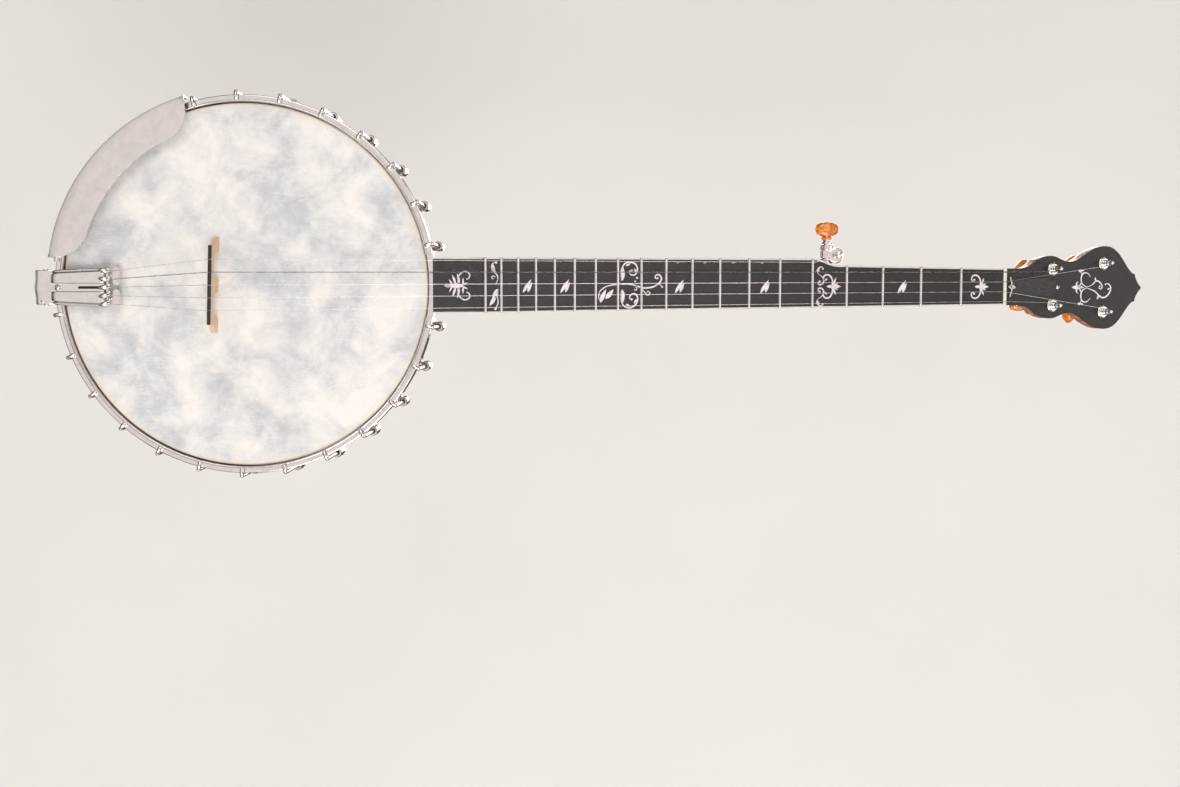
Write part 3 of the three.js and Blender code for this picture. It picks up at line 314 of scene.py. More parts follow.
def pearl():
    """Mother of pearl and abalone: pale, with drifting pink and green."""
    n = material("shell_pearl", Roughness=0.16)
    n.set("Coat Weight", 0.6)
    drift = n.speckle(n.place((1, 1, 1), (0, 0, 0.5)), 0.55, 3, 0.5, 1.8)
    shell = n.ramp(drift, (0.28, "#8fc7b4"), (0.4, "#e9e6ea"), (0.5, "#fbf8fa"), (0.6, "#f0c9d6"),
                 (0.72, "#e8e9f4"))
    n.set("Base Color", shell)
    n.bump(drift, 0.05, 0.15)
    return n.owner


def amber_button():
    """Translucent amber peg buttons, with clouded, swirled colour."""
    n = material("amber_button", Roughness=0.1)
    n.set("Coat Weight", 0.8)
    n.set("Subsurface Weight", 0.35)
    n.set("Subsurface Radius", (0.006, 0.0025, 0.0008))
    swirl = n.speckle(n.place((1, 1, 0.6)), 0.16, 4, 0.55, 1.4)
    n.set("Base Color", n.ramp(swirl, (0.3, "#b4500c"), (0.5, "#e58418"), (0.7, "#f4ac4e")))
    n.bump(swirl, 0.05, 0.1)
    return n.owner


def ivory_binding():
    """Grained ivoroid binding."""
    n = material("grained_ivoroid", Roughness=0.35)
    grain = n.speckle(n.place((0.06, 1, 1)), 1.5, 3)
    n.set("Base Color", n.ramp(grain, (0.35, "#cfcac4"), (0.65, "#ece8e2")))
    n.bump(grain, 0.01, 0.1)
    return n.owner


def shadow_black():
    """Painted shade for the unlit inside of a slot or a screw's hole: near black, dull."""
    n = material("painted_shade_slot", Roughness=0.8)
    shade_mottle = n.speckle(n.place(), 1.5, 3)
    n.set("Base Color", n.ramp(shade_mottle, (0.3, "#0b0a0a"), (0.7, "#1a1818")))
    return n.owner


NICKEL, WIRE, WOUND = nickel_plate(), steel_wire(), steel_wire("wound_string_wire", True)
NECK_WOOD = flamed_maple("flamed_neck_maple", "#985020", "#c67a29", "#e3a044")
CORE_WOOD = flamed_maple("peghead_core_maple", "#7f3d18", "#b06425", "#d48b38")
RIM_WOOD, EBONY, COVER_EBONY = bent_maple(), ebony(), ebony("cover_ebony", "#2c2930", 0.28)
HEAD, BONE, BRIDGE_WOOD, PEARL = skin_head(), bone(), bridge_maple(), pearl()
AMBER, BINDING, PAINTED_SHADE = amber_button(), ivory_binding(), shadow_black()


# ---- Meshes ----
class Shape:
    """Vertices and faces that grow together, in mm."""

    def __init__(self):
        self.verts, self.faces, self.slots = [], [], []

    def put(self, verts, faces, at=None, slot=0):
        start = len(self.verts)
        self.verts += [tuple(at @ Vector(v)) for v in verts] if at else [tuple(v) for v in verts]
        self.faces += [tuple(i + start for i in f) for f in faces]
        self.slots += [slot] * len(faces)
        return self

    def lathe(self, profile, sides=32, at=None, slot=0):
        """A closed profile of (r, z), or one that starts and ends on the axis, turned about z."""
        rings, verts, faces = [], [], []
        for r, z in profile:
            if r < 1e-6:
                rings.append([len(verts)] * sides)
                verts.append((0, 0, z))
            else:
                rings.append(list(range(len(verts), len(verts) + sides)))
                verts += [(r * cos(2 * pi * i / sides), r * sin(2 * pi * i / sides), z) for i in range(sides)]
        open_ends = profile[0][0] < 1e-6 and profile[-1][0] < 1e-6
        pairs = list(zip(rings, rings[1:])) + ([] if open_ends else [(rings[-1], rings[0])])
        for a, b in pairs:
            for i in range(sides):
                j = (i + 1) % sides
                quad = list(dict.fromkeys((a[i], a[j], b[j], b[i])))
                if len(quad) > 2:
                    faces.append(quad)
        return self.put(verts, faces, at, slot)

    def prism(self, outline, z0, z1, at=None, slot=0):
        n = len(outline)
        verts = [(x, y, z0) for x, y in outline] + [(x, y, z1) for x, y in outline]
        faces = [list(range(n))[::-1], list(range(n, 2 * n))]
        faces += [(i, (i + 1) % n, (i + 1) % n + n, i + n) for i in range(n)]
        return self.put(verts, faces, at, slot)

    def loft(self, rings, closed=False, at=None, slot=0):
        n, verts, faces = len(rings[0]), [v for ring in rings for v in ring], []
        last = len(rings) if closed else len(rings) - 1
        for i in range(last):
            a, b = i * n, ((i + 1) % len(rings)) * n
            faces += [(a + j, a + (j + 1) % n, b + (j + 1) % n, b + j) for j in range(n)]
        if not closed:
            faces += [list(range(n))[::-1], list(range((len(rings) - 1) * n, len(rings) * n))]
        return self.put(verts, faces, at, slot)

    def tube(self, path, radius, sides=10, at=None, slot=0):
        """A round bar along a path; radius is one number or one for each point."""
        points = [Vector(p) for p in path]
        radii = radius if isinstance(radius, (list, tuple)) else [radius] * len(points)
        rings, side = [], None
        for i, p in enumerate(points):
            ahead = (points[min(i + 1, len(points) - 1)] - points[max(i - 1, 0)]).normalized()
            if side is None:
                side = ahead.orthogonal().normalized()
            side = (side - ahead * side.dot(ahead)).normalized()
            other = ahead.cross(side)
            rings.append([p + (side * cos(t) + other * sin(t)) * radii[i]
                          for t in (2 * pi * k / sides for k in range(sides))])
        return self.loft(rings, False, at, slot)

    def ball(self, centre, radius, sides=12, at=None, slot=0):
        steps = sides // 2
        profile = [(radius * sin(pi * i / steps), -radius * cos(pi * i / steps)) for i in range(steps + 1)]
        profile[0], profile[-1] = (0, -radius), (0, radius)
        there = move(*centre)
        return self.lathe(profile, sides, (at @ there) if at else there, slot)

    def brick(self, low, high, at=None, slot=0):
        (x0, y0, z0), (x1, y1, z1) = low, high
        return self.prism([(x0, y0), (x1, y0), (x1, y1), (x0, y1)], z0, z1, at, slot)


def mesh_of(name, shape, materials=()):
    """A mesh with its faces turned outwards."""
    mesh = bpy.data.meshes.new(name)
    mesh.from_pydata(shape.verts, [], shape.faces)
    mesh.polygons.foreach_set("material_index", shape.slots)
    for mat in materials:
        mesh.materials.append(mat)
    cleaned = bmesh.new()
    cleaned.from_mesh(mesh)
    bmesh.ops.remove_doubles(cleaned, verts=cleaned.verts, dist=1e-4)
    bmesh.ops.recalc_face_normals(cleaned, faces=cleaned.faces)
    cleaned.to_mesh(mesh)
    cleaned.free()
    return mesh


def linked(name, mesh):
    obj = bpy.data.objects.new(name, mesh)
    bpy.context.scene.collection.objects.link(obj)
    return obj


def make(name, shape, where, materials, body="banjo", replaces=None, bevel=0, segments=2,
         sharp=40, mesh=None):
    """An object from a shape, or from a mesh that is ready, riding on a body; bevel is in mm."""
    if mesh is None:
        mesh = mesh_of(name, shape, materials if isinstance(materials, list) else [materials])
        mesh.shade_smooth()
        mesh.set_sharp_from_angle(angle=rad(sharp))
    obj = linked(name, mesh)
    obj.matrix_world = where
    if bevel:
        mod = obj.modifiers.new("round", "BEVEL")
        mod.width, mod.segments, mod.limit_method, mod.angle_limit = bevel, segments, "ANGLE", rad(38)
    obj.modifiers.new("even", "WEIGHTED_NORMAL").keep_sharp = True
    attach(obj, body)
    if replaces:
        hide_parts(replaces)
    return obj


def bezier(*controls, steps=10):
    """Cubic stretches through 1 + 3n control points."""
    points = []
    for i in range(0, len(controls) - 1, 3):
        a, b, c, d = (Vector(p) for p in controls[i:i + 4])
        for k in range(steps):
            t = k / steps
            points.append(a * (1 - t) ** 3 + b * 3 * t * (1 - t) ** 2 + c * 3 * t * t * (1 - t) + d * t ** 3)
    return points + [Vector(controls[-1])]


def spline(points, steps=8):
    """A smooth line through points."""
    pts = [Vector(p) for p in points]
    pts = [pts[0] * 2 - pts[1]] + pts + [pts[-1] * 2 - pts[-2]]
    line = []
    for i in range(1, len(pts) - 2):
        a, b, c, d = pts[i - 1:i + 3]
        for k in range(steps):
            t = k / steps
            line.append(0.5 * (2 * b + (c - a) * t + (2 * a - 5 * b + 4 * c - d) * t * t
                               + (3 * b - a - 3 * c + d) * t ** 3))
    return line + [pts[-2]]


def lerp(a, b, t):
    return a + (b - a) * t


def round_z(profile, angles):
    """A profile of (r, z) at each of the angles round z."""
    return [[(r * cos(a), r * sin(a), z) for r, z in profile] for a in angles]


def hexagon(r, start=0):
    return [(r * cos(pi * k / 3 + start), r * sin(pi * k / 3 + start)) for k in range(6)]


def clamp(t, low=0, high=1):
    return max(low, min(high, t))


def ease(t):
    return t * t * (3 - 2 * t)


def screw(shape, at, radius=2.2, height=0.9, slot_turn=0, metal=0, dark=1):
    """A slotted, domed screw head, its axis along z at a place."""
    shape.lathe([(0, height), (radius * 0.5, height * 0.93), (radius * 0.85, height * 0.6),
                 (radius, height * 0.15), (radius, -0.4), (0, -0.4)], 24, at, metal)
    # the slot is a black bar set into the dome rather than cut: painted shade
    cut = at @ turn(slot_turn)
    shape.brick((-radius * 0.8, -radius * 0.13, height * 0.45), (radius * 0.8, radius * 0.13, height * 0.99),
                cut, dark)


# ---- The pot ----

def build_pot():
    back = -POT_DEPTH
    inner = RIM_R - RIM_WALL
    rim = Shape().lathe([(inner + 1.6, back), (RIM_R - 1.6, back), (RIM_R - 0.5, back + 0.5),
                         (RIM_R, back + 1.6), (RIM_R, -9.1), (inner, -9.1), (inner, back + 1.6),
                         (inner + 0.5, back + 0.5)], 240)
    make("rim_wood", rim, INSTRUMENT, RIM_WOOD, replaces="rim", sharp=50)

    ring = Shape().lathe([(140.2, -8.8), (149.2, -8.8), (149.2, -2.6), (148.9, -1.6), (148, -0.95),
                          (146.8, -0.85), (145.6, -1.3), (144.6, -2.4), (143.2, -4.4), (141.6, -6.2),
                          (140.2, -6.9)], 240)
    make("tone_ring_cast", ring, INSTRUMENT, NICKEL, replaces="tone_ring", sharp=60)

    film = Shape().lathe([(0, 0), (40, 0), (90, 0), (130, 0), (144, 0), (148.2, -0.05), (149.3, -0.35),
                          (149.9, -1), (150.1, -2), (150.1, -10.6), (149.6, -10.6), (149.55, -2.4),
                          (149.2, -1.3), (148.2, -0.55), (144, -0.45), (0, -0.45)], 240)
    make("head_film", film, INSTRUMENT, HEAD, replaces="drum_head", sharp=60)
    flesh = Shape().lathe([
        (149.6, -13.6), (149.9, -13.9), (153.5, -13.9), (153.8, -13.6), (153.8, -11.2), (153.5, -10.85),
        (149.9, -10.85), (149.6, -11.2)], 240)
    make("flesh_hoop", flesh, INSTRUMENT, NICKEL)

    # the tension hoop: a flat top with a fine groove inside it, cut down where the fretboard crosses it
    foot = [(150.75, HOOP_BOTTOM + 0.3), (151, HOOP_BOTTOM), (156.1, HOOP_BOTTOM), (156.4, HOOP_BOTTOM + 0.3)]
    full = foot + [
        (156.4, 1.5), (156.3, 2.1), (155.9, 2.42), (155.4, 2.5), (153, 2.5), (152.6, 2.35), (152.5, 1.5),
        (152.15, 1.45), (152.05, 2.2), (151.8, 2.42), (151.3, 2.42), (150.9, 2.2), (150.75, 1.6)]
    low = foot + [(156.4, -4.4), (156.1, -4.1), (151, -4.1), (150.75, -4.4)]
    half = math.asin(26.2 / 153.5)  # of the angle that the fretboard takes up
    shape = Shape()
    shape.loft(round_z(full, [half + (2 * pi - 2 * half) * i / 236 for i in range(237)]))
    shape.loft(round_z(low, [-half - 0.002 + (2 * half + 0.004) * i / 12 for i in range(13)]))
    make("tension_hoop_plated", shape, INSTRUMENT, NICKEL, replaces="tension_hoop", sharp=50)


def build_brackets():
    s = Shape()
    # the hook: threaded wire, a bend over the hoop, and a flattened claw in its groove
    bend = [(HOOK_R, 0, -30), (HOOK_R, 0, 1.2)]
    bend += [(HOOK_R - 2.2 + 2.2 * cos(t), 0, 1.6 + 2.4 * sin(t)) for t in (0.3, 0.6, 0.95, 1.3, 1.6)]
    bend += [(154.9, 0, 4.05), (153.6, 0, 3.6), (152.5, 0, 3.2), (151.7, 0, 3.15), (151.25, 0, 3.3)]
    widths = [1.55] * 5 + [1.6, 1.65, 1.75, 1.85, 1.8, 1.5, 0.9]
    s.tube(bend, widths, 14)
    s.ball((HOOK_R - 0.2, 0, 3.2), 1.75, 14)
    s.tube([(HOOK_R, 0, -30), (HOOK_R, 0, -44.5)], 1.55, 12)
    thread = [(1.55, -51.5)]
    for k in range(9):
        z = -51.5 - 0.75 * k
        thread += [(1.6, z - 0.2), (1.3, z - 0.55)]
    axis = move(HOOK_R, 0, 0)
    s.lathe([(0, -51)] + thread + [(0.9, -58.3), (0, -58.3)], 12, axis)
    # the hook nut: a bored hex barrel with a round shoulder
    s.prism(hexagon(3.9), -51.8, -46.4, axis)
    s.lathe([(0, -46.6), (3.5, -46.6), (3.6, -46.2), (3.6, -44.9), (3.2, -44.4), (0, -44.4)], 24, axis)
    # the shoe: a flat plate, a waisted arm and a bored, rounded eye
    s.prism([(149.5, -5.2), (152.3, -5.2), (152.6, -4.2), (152.6, 4.2), (152.3, 5.2), (149.5, 5.2)], -47.4,
            -28.6)
    arm = []
    for x, w, h in ((151.8, 4.6, 8.4), (153, 3.3, 6.4), (154.4, 2.9, 5.4), (155.8, 3.3, 5.7)):
        arm.append([(x, w * cos(t), SHOE_Z + h * sin(t)) for t in (2 * pi * k / 16 for k in range(16))])
    s.loft(arm)
    s.lathe([(2.1, -44), (3.4, -44), (4.1, -43.3), (4.2, -42.4), (4.2, -33.6), (4.1, -32.7), (3.5, -32),
             (2.5, -32), (2.1, -32.5)], 28, axis)
    # the shoe bolt: shank, washer and domed hex head inside the rim
    radial = move(0, 0, SHOE_Z) @ turn(90, "Y")
    s.lathe([(0, 129.5), (2.2, 129.5), (2.2, 151), (0, 151)], 12, radial)
    s.lathe([(2.4, 131.6), (6, 131.6), (6.2, 131.4), (6.2, 130.9), (5.9, 130.6), (2.4, 130.6)], 28, radial)
    s.lathe([(0, 126.9), (1.6, 127), (3.2, 127.5), (4.4, 128.5), (4.7, 129.2), (4.7, 130.6), (0, 130.6)], 24,
            radial)
    first = make("hook_and_shoe_01", s, INSTRUMENT @ turn(HOOKS[0]), NICKEL, replaces="bracket_01", sharp=45)
    for i, angle in enumerate(HOOKS[1:], 2):
        make("hook_and_shoe_%02d" % i, None, INSTRUMENT @ turn(angle), NICKEL, replaces="bracket_%02d" % i,
             mesh=first.data)


def build_rod():
    s = Shape()
    along = move(0, 0, ROD_Z) @ turn(90, "Y")
    # lathe z runs along x: the tail is negative
    s.lathe([(0, -104), (4, -104), (4, 84.5), (3.6, 85), (0, 85)], 32, along)
    s.lathe([(0, 84), (3.1, 84), (3.1, 104), (0, 104)], 24, along)
    s.lathe([(0, 103), (4.9, 103), (5.5, 103.8), (5.5, 131.2), (5.1, 131.8), (0, 131.8)], 32, along)
    s.lathe([(0, -131.8), (5.1, -131.8), (5.5, -131.2), (5.5, -112), (5, -111.2), (0, -111.2)], 32, along)
    s.prism(hexagon(5.4), -111.5, -103.5, along)
    s.prism(hexagon(5.4 * 0.98), 95.5, 101, along)
    s.lathe([(0, 130), (3, 130), (3, 170), (0, 170)], 16, along)
    s.lathe([(0, -178.6), (2.6, -178.6), (3, -178), (3, -130), (0, -130)], 20, along)
    s.lathe([(3, -167.4), (6.6, -167.4), (7, -167), (7, -150.2), (6.6, -149.7), (3, -149.7)], 32, along)
    s.prism(hexagon(7, 0.3), -175.6, -171.6, along)
    s.lathe([(0, -177.6), (2.5, -177.5), (4.6, -176.6), (5.6, -175.5), (0, -175.4)], 24, along)
    s.lathe([(3, -171.6), (7.6, -171.6), (7.9, -171.3), (7.9, -170.9), (3, -170.9)], 28, along)
    make("coordinator_rod_plated", s, INSTRUMENT, NICKEL, replaces="coordinator_rod", bevel=0.25)


# ---- The neck ----
def treble(u):
    return lerp(HEEL_W, NUT_W, clamp(u / NUT_U))


def bass(u):
    return lerp(BASS_W, treble(u), ease(clamp((u - FIFTH - 1) / 21)))


def neck_ring(u, steps=14):
    """The neck's section under the fretboard: a D that deepens into the heel and into the volute."""
    centre, half = (bass(u) - treble(u)) / 2, (bass(u) + treble(u)) / 2 - 0.15
    heel = (1 - clamp((u - HEEL_END) / 46)) ** 2.2  # 1 at the pot, 0 where the shaft begins
    flat = math.sqrt(heel) * 0.58 * half  # half the width of the heel's foot
    shaft = lerp(20, 16, clamp(u / NUT_U))
    volute = 2.2 * math.exp(-((u - 486) / 11) ** 2)
    beyond = max(0, u - (NUT_U + NUT_T))
    top = -BOARD_T - (0.9 + 0.25 * beyond if beyond > 0 else 0)
    half *= 1 - clamp(beyond / 60) * 0.4
    bottom = -BOARD_T - (shaft + (59.5 - shaft) * heel + volute)
    ring = []
    for sign in (1, -1):
        side = []
        for k in range(steps + 1):
            around = k / steps * pi / 2
            drop = sin(around)
            share = 0 if k == steps else lerp(cos(around) ** 0.85, 1 - 0.42 * drop ** 1.3, math.sqrt(heel))
            reach, z = half * share, top + (bottom - top) * drop
            if k == steps - 1 and flat > 0.3:
                reach, z = max(flat, reach * (1 - heel)), lerp(z, bottom, heel)
            side.append((u, centre + sign * reach, z))
        ring += side if sign == 1 else side[::-1][1:]
    return ring


PEGHEAD_HALF = bezier((0, NUT_W), (16, NUT_W), (23.5, 15.4), (31.2, 24), (31.6, 24.2), (32.6, 23.8),
                      (33.2, 24.2), (36.5, 26.4), (41, 27.4), (46.5, 27.4), (54.5, 27.4), (57, 22.6),
                      (67, 22.6), (80, 22.6), (86, 37), (105, 37), (121, 37), (126.5, 18.2), (135.2, 12.9),
                      (136, 12.5), (137.4, 12.6), (137.8, 12.2), (138.6, 7), (142, 3.2), (145.3, 0), steps=9)
PEGHEAD_HALF = [(p.x, p.y) for p in PEGHEAD_HALF]
PEGHEAD_OUTLINE = PEGHEAD_HALF + [(x, -y) for x, y in reversed(PEGHEAD_HALF[:-1])]


def drawn_in(outline, distance):
    """The peghead's outline moved inwards: more beside the nut, and less at the tip."""
    n, moved = len(outline), []
    for i, (x, y) in enumerate(outline):
        ahead = (Vector(outline[(i + 1) % n]) - Vector(outline[i - 1])).normalized()
        step = distance * (1 + 1.2 * clamp((20 - x) / 20)) * clamp((146 - x) / 24, 0.12, 1)
        if x < 0.01:
            moved.append((x, y - math.copysign(step, y)))
        else:
            moved.append((x + ahead.y * step, y - ahead.x * step))
    return moved


def build_neck():
    places = [-8, -4, 0] + [HEEL_END * k / 6 for k in range(1, 7)]
    places += [HEEL_END + 46 * k / 16 for k in range(1, 17)] + [92 + (FIFTH - 92) * k / 12
            for k in range(1, 13)]
    places += [FIFTH + 1 + 21 * k / 14 for k in range(15)]
    start = FIFTH + 24
    places += [start + (470 - start) * k / 10 for k in range(11)] + [473 + 2 * k for k in range(10)]
    places += [NUT_U + 4 + 3 * k for k in range(9)]
    s = Shape().loft([neck_ring(u) for u in places])
    # the core's back edge is rounded over
    levels = ((-2.02, 0.1), (-2.4, 0), (-7.5, 0), (-9.5, 0.2), (-11.5, 0.7), (-13.2, 1.5), (-14.5, 2.5),
              (-15.2, 3.6))
    core = Shape().loft([[(x, y, w) for x, y in drawn_in(PEGHEAD_OUTLINE, inset)] for w, inset in levels],
                        False, move(PEG_U, 0, -PEG_DROP) @ Matrix.Rotation(TILT, 4, "Y"))
    to_neck = NECK.inverted() @ INSTRUMENT
    tool = Shape()
    tool.lathe([(0, -160), (149.3, -160), (149.3, -14.4), (156.9, -14.4), (156.9, 60), (0, 60)], 180, to_neck)
    tool.lathe([(0, 120), (3.7, 120), (3.7, 173), (0, 173)], 20, to_neck @ move(0, 0, ROD_Z) @ turn(90, "Y"))
    cutter = linked("cutter", mesh_of("cutter", tool))
    body = linked("neck_rough", mesh_of("neck_rough", s))
    mod = body.modifiers.new("fit", "BOOLEAN")
    mod.operation, mod.object, mod.solver = "DIFFERENCE", cutter, "EXACT"
    bpy.context.view_layer.update()
    cut = bpy.data.meshes.new_from_object(body.evaluated_get(bpy.context.evaluated_depsgraph_get()))
    for obj in (body, cutter):
        bpy.data.objects.remove(obj)
    cut.name = "neck_wood"
    cut.materials.append(NECK_WOOD)
    cut.shade_smooth()
    cut.set_sharp_from_angle(angle=rad(42))
    make("neck_wood", None, NECK, NECK_WOOD, replaces="neck", mesh=cut)
    make("peghead_core", core, NECK, CORE_WOOD)

    # heel cap: an ebony D over the heel's foot
    half = 13.6
    arc = [(HEEL_END - half * 0.5 + (half * 0.5 + 5) * sin(t), half * cos(t))
           for t in (pi * k / 24 for k in range(25))]
    points = [(-6, half)] + arc + [(-6, -half)]
    cap = Shape().prism(points, -67.7, -64.55)
    make("heel_cap_ebony", cap, NECK, EBONY, replaces="heel_cap", bevel=0.7, segments=3)


def build_fretboard():
    stations = [0, 20, 44, 100, 160, 230, FIFTH] + [FIFTH + 1 + 21 * k / 20 for k in range(21)]
    stations += [FIFTH + 30, 400, 450, NUT_U - 0.2]
    edge = 1.45
    outer, inner = [(u, bass(u)) for u in stations], []
    for u in stations:
        slope = bass(u + 0.5) - bass(u - 0.5)
        inner.append((u, bass(u) - edge * math.sqrt(1 + slope * slope)))
    scoop_end = fret_u(19) - 2.2
    low, high = -treble(0) + edge, inner[0][1]
    s = Shape()
    s.prism([(0, high), (scoop_end, high), (scoop_end, low), (0, low)], -BOARD_T + 0.02, -1.5)
    s.prism([(scoop_end, high)] + [p for p in inner if p[0] > scoop_end]
            + [(NUT_U - 0.2, -treble(NUT_U) + edge), (240, -treble(240) + edge), (scoop_end, low + 0.02)],
            -BOARD_T + 0.02, 0)
    make("fretboard_ebony", s, NECK, EBONY, replaces="fretboard", bevel=0.12, segments=1)
    b = Shape()
    b.prism([p for p in outer + inner[::-1] if p[0] > scoop_end - 1], -BOARD_T + 0.05, -0.01)
    b.prism([(NUT_U - 0.2, -treble(NUT_U)), (scoop_end, -treble(scoop_end)),
             (scoop_end, -treble(scoop_end) + edge), (NUT_U - 0.2, -treble(NUT_U) + edge)], -BOARD_T + 0.05,
            -0.01)
    for side, w0, w1 in ((1, bass(0), bass(0)), (-1, treble(0), treble(scoop_end))):
        b.prism([(0, side * w0), (scoop_end + 0.5, side * w1), (scoop_end + 0.5, side * (w1 - edge)),
                 (0, side * (w0 - edge))], -BOARD_T + 0.05, -1.51)
    make("fretboard_binding", b, NECK, BINDING, bevel=0.25)

    frets = Shape()
    for n in range(1, 20):
        u = fret_u(n)
        hi, lo = bass(u) - 0.2, -treble(u) + 0.2
        profile = [(-1.15, -0.1), (-1.15, 0.12), (-0.85, 0.62), (-0.35, 0.95), (0.35, 0.95), (0.85, 0.62),
                   (1.15, 0.12), (1.15, -0.1)]
        rings = []
        for v, k in ((lo, 0.35), (lo + 0.5, 0.85), (lo + 1.2, 1), (hi - 1.2, 1), (hi - 0.5, 0.85),
                     (hi, 0.35)):
            rings.append([(u + x * (0.9 + 0.1 * k), v, max(-0.1, z * k)) for x, z in profile])
        frets.loft(rings)
    make("frets", frets, NECK, NICKEL, sharp=50)

    # the fifth string's pip, the rail stops and the side dots
    pip = Shape().lathe([(0, 1.6), (0.8, 1.5), (1.1, 1.1), (1.15, -0.4), (0, -0.4)], 20,
                        move(FIFTH + 0.2, BASS_W - 3.2, 0))
    make("fifth_string_pip", pip, NECK, BONE)
    rail = Shape()
    for u in (204.5, 227.6, 251.7, 276.5):
        rail.tube([(u - 1.2, 19.6, -0.3), (u - 1.2, 19.6, 0.9), (u - 0.9, 19.6, 1.3), (u + 0.5, 19.6, 1.35),
                   (u + 1.2, 19.6, 1.1)], [0.45, 0.45, 0.5, 0.5, 0.35], 8)
    make("rail_stops", rail, NECK, NICKEL)
    dots = Shape()
    for n in (3, 5, 7, 10, 12, 15, 17):
        u = (fret_u(n) + fret_u(n - 1)) / 2
        for d in (-3, 3) if n == 12 else (0,):
            dots.lathe([(0, 0.12), (0.9, 0.1), (1, -0.3), (0, -0.3)], 16,
                       move(u + d, bass(u), -3.2) @ turn(-90, "X"))
    make("side_dots", dots, NECK, PEARL)

    nut = Shape()
    top = [(-NUT_W, 0.9)]
    for v in (-12.6, -4.2, 4.2, 12.6):
        top += [(v - 0.45, 0.9), (v - 0.3, 0.45), (v + 0.3, 0.45), (v + 0.45, 0.9)]
    top.append((NUT_W, 0.9))
    nut.loft([[(NUT_U + u, v, z - drop) for v, z in top] + [(NUT_U + u, NUT_W, -4.8),
            (NUT_U + u, -NUT_W, -4.8)] for u, drop in ((0, 0), (1.4, 0.15), (2.6, 0.6), (NUT_T, 1.5))])
    make("nut_bone", nut, NECK, BONE, replaces="nut", bevel=0.2)


# ---- Inlay ----
class Inlay(Shape):
    """Thin shell shapes let into a face at z = 0."""

    TOP, DEEP = 0.03, -0.25

    def stroke(self, points, width, start=0.25, end=0.25, bulge=0.5):
        """A vine that swells at bulge, a share of its length, and tapers to its ends."""
        line = spline([(x, y, 0) for x, y in points], 6)
        left, right = [], []
        for i, p in enumerate(line):
            t = i / (len(line) - 1)
            ahead = (line[min(i + 1, len(line) - 1)] - line[max(i - 1, 0)]).normalized()
            swell = t / bulge if t < bulge else (1 - t) / (1 - bulge)
            w = width * 0.5 * lerp(start if t < bulge else end, 1, sin(swell * pi / 2))
            left.append((p.x - ahead.y * w, p.y + ahead.x * w))
            right.append((p.x + ahead.y * w, p.y - ahead.x * w))
        for i in range(len(line) - 1):
            self.prism([left[i], right[i], right[i + 1], left[i + 1]], self.DEEP, self.TOP)
        return self

    def leaf(self, x, y, length, angle, width=0.34, curl=0):
        """A pointed leaf from its foot at x, y; angle in degrees."""
        a = rad(angle)
        outline = []
        for t, side in [(k / 8, 1) for k in range(9)] + [(k / 8, -1) for k in range(7, 0, -1)]:
            p, q = t * length, side * width * length * 0.5 * sin(pi * t ** 0.8) + curl * length * t * t
            outline.append((x + p * cos(a) - q * sin(a), y + p * sin(a) + q * cos(a)))
        return self.prism(outline, self.DEEP, self.TOP)

    def dot(self, x, y, r):
        return self.prism([(x + r * cos(2 * pi * k / 14), y + r * sin(2 * pi * k / 14)) for k in range(14)],
                          self.DEEP, self.TOP)

    def curl(self, x, y, r, start, sweep, width=0.9, shrink=0.3):
        """A spiral round x, y that starts at angle start and winds inwards; degrees."""
        points = []
        for k in range(12):
            t = k / 11
            a = rad(start + sweep * t)
            q = r * lerp(1, shrink, t)
            points.append((x + q * cos(a), y + q * sin(a)))
        self.stroke(points, width, 0.5, 0.9, 0.35)
        self.dot(*points[-1], width * 0.62)
        return self


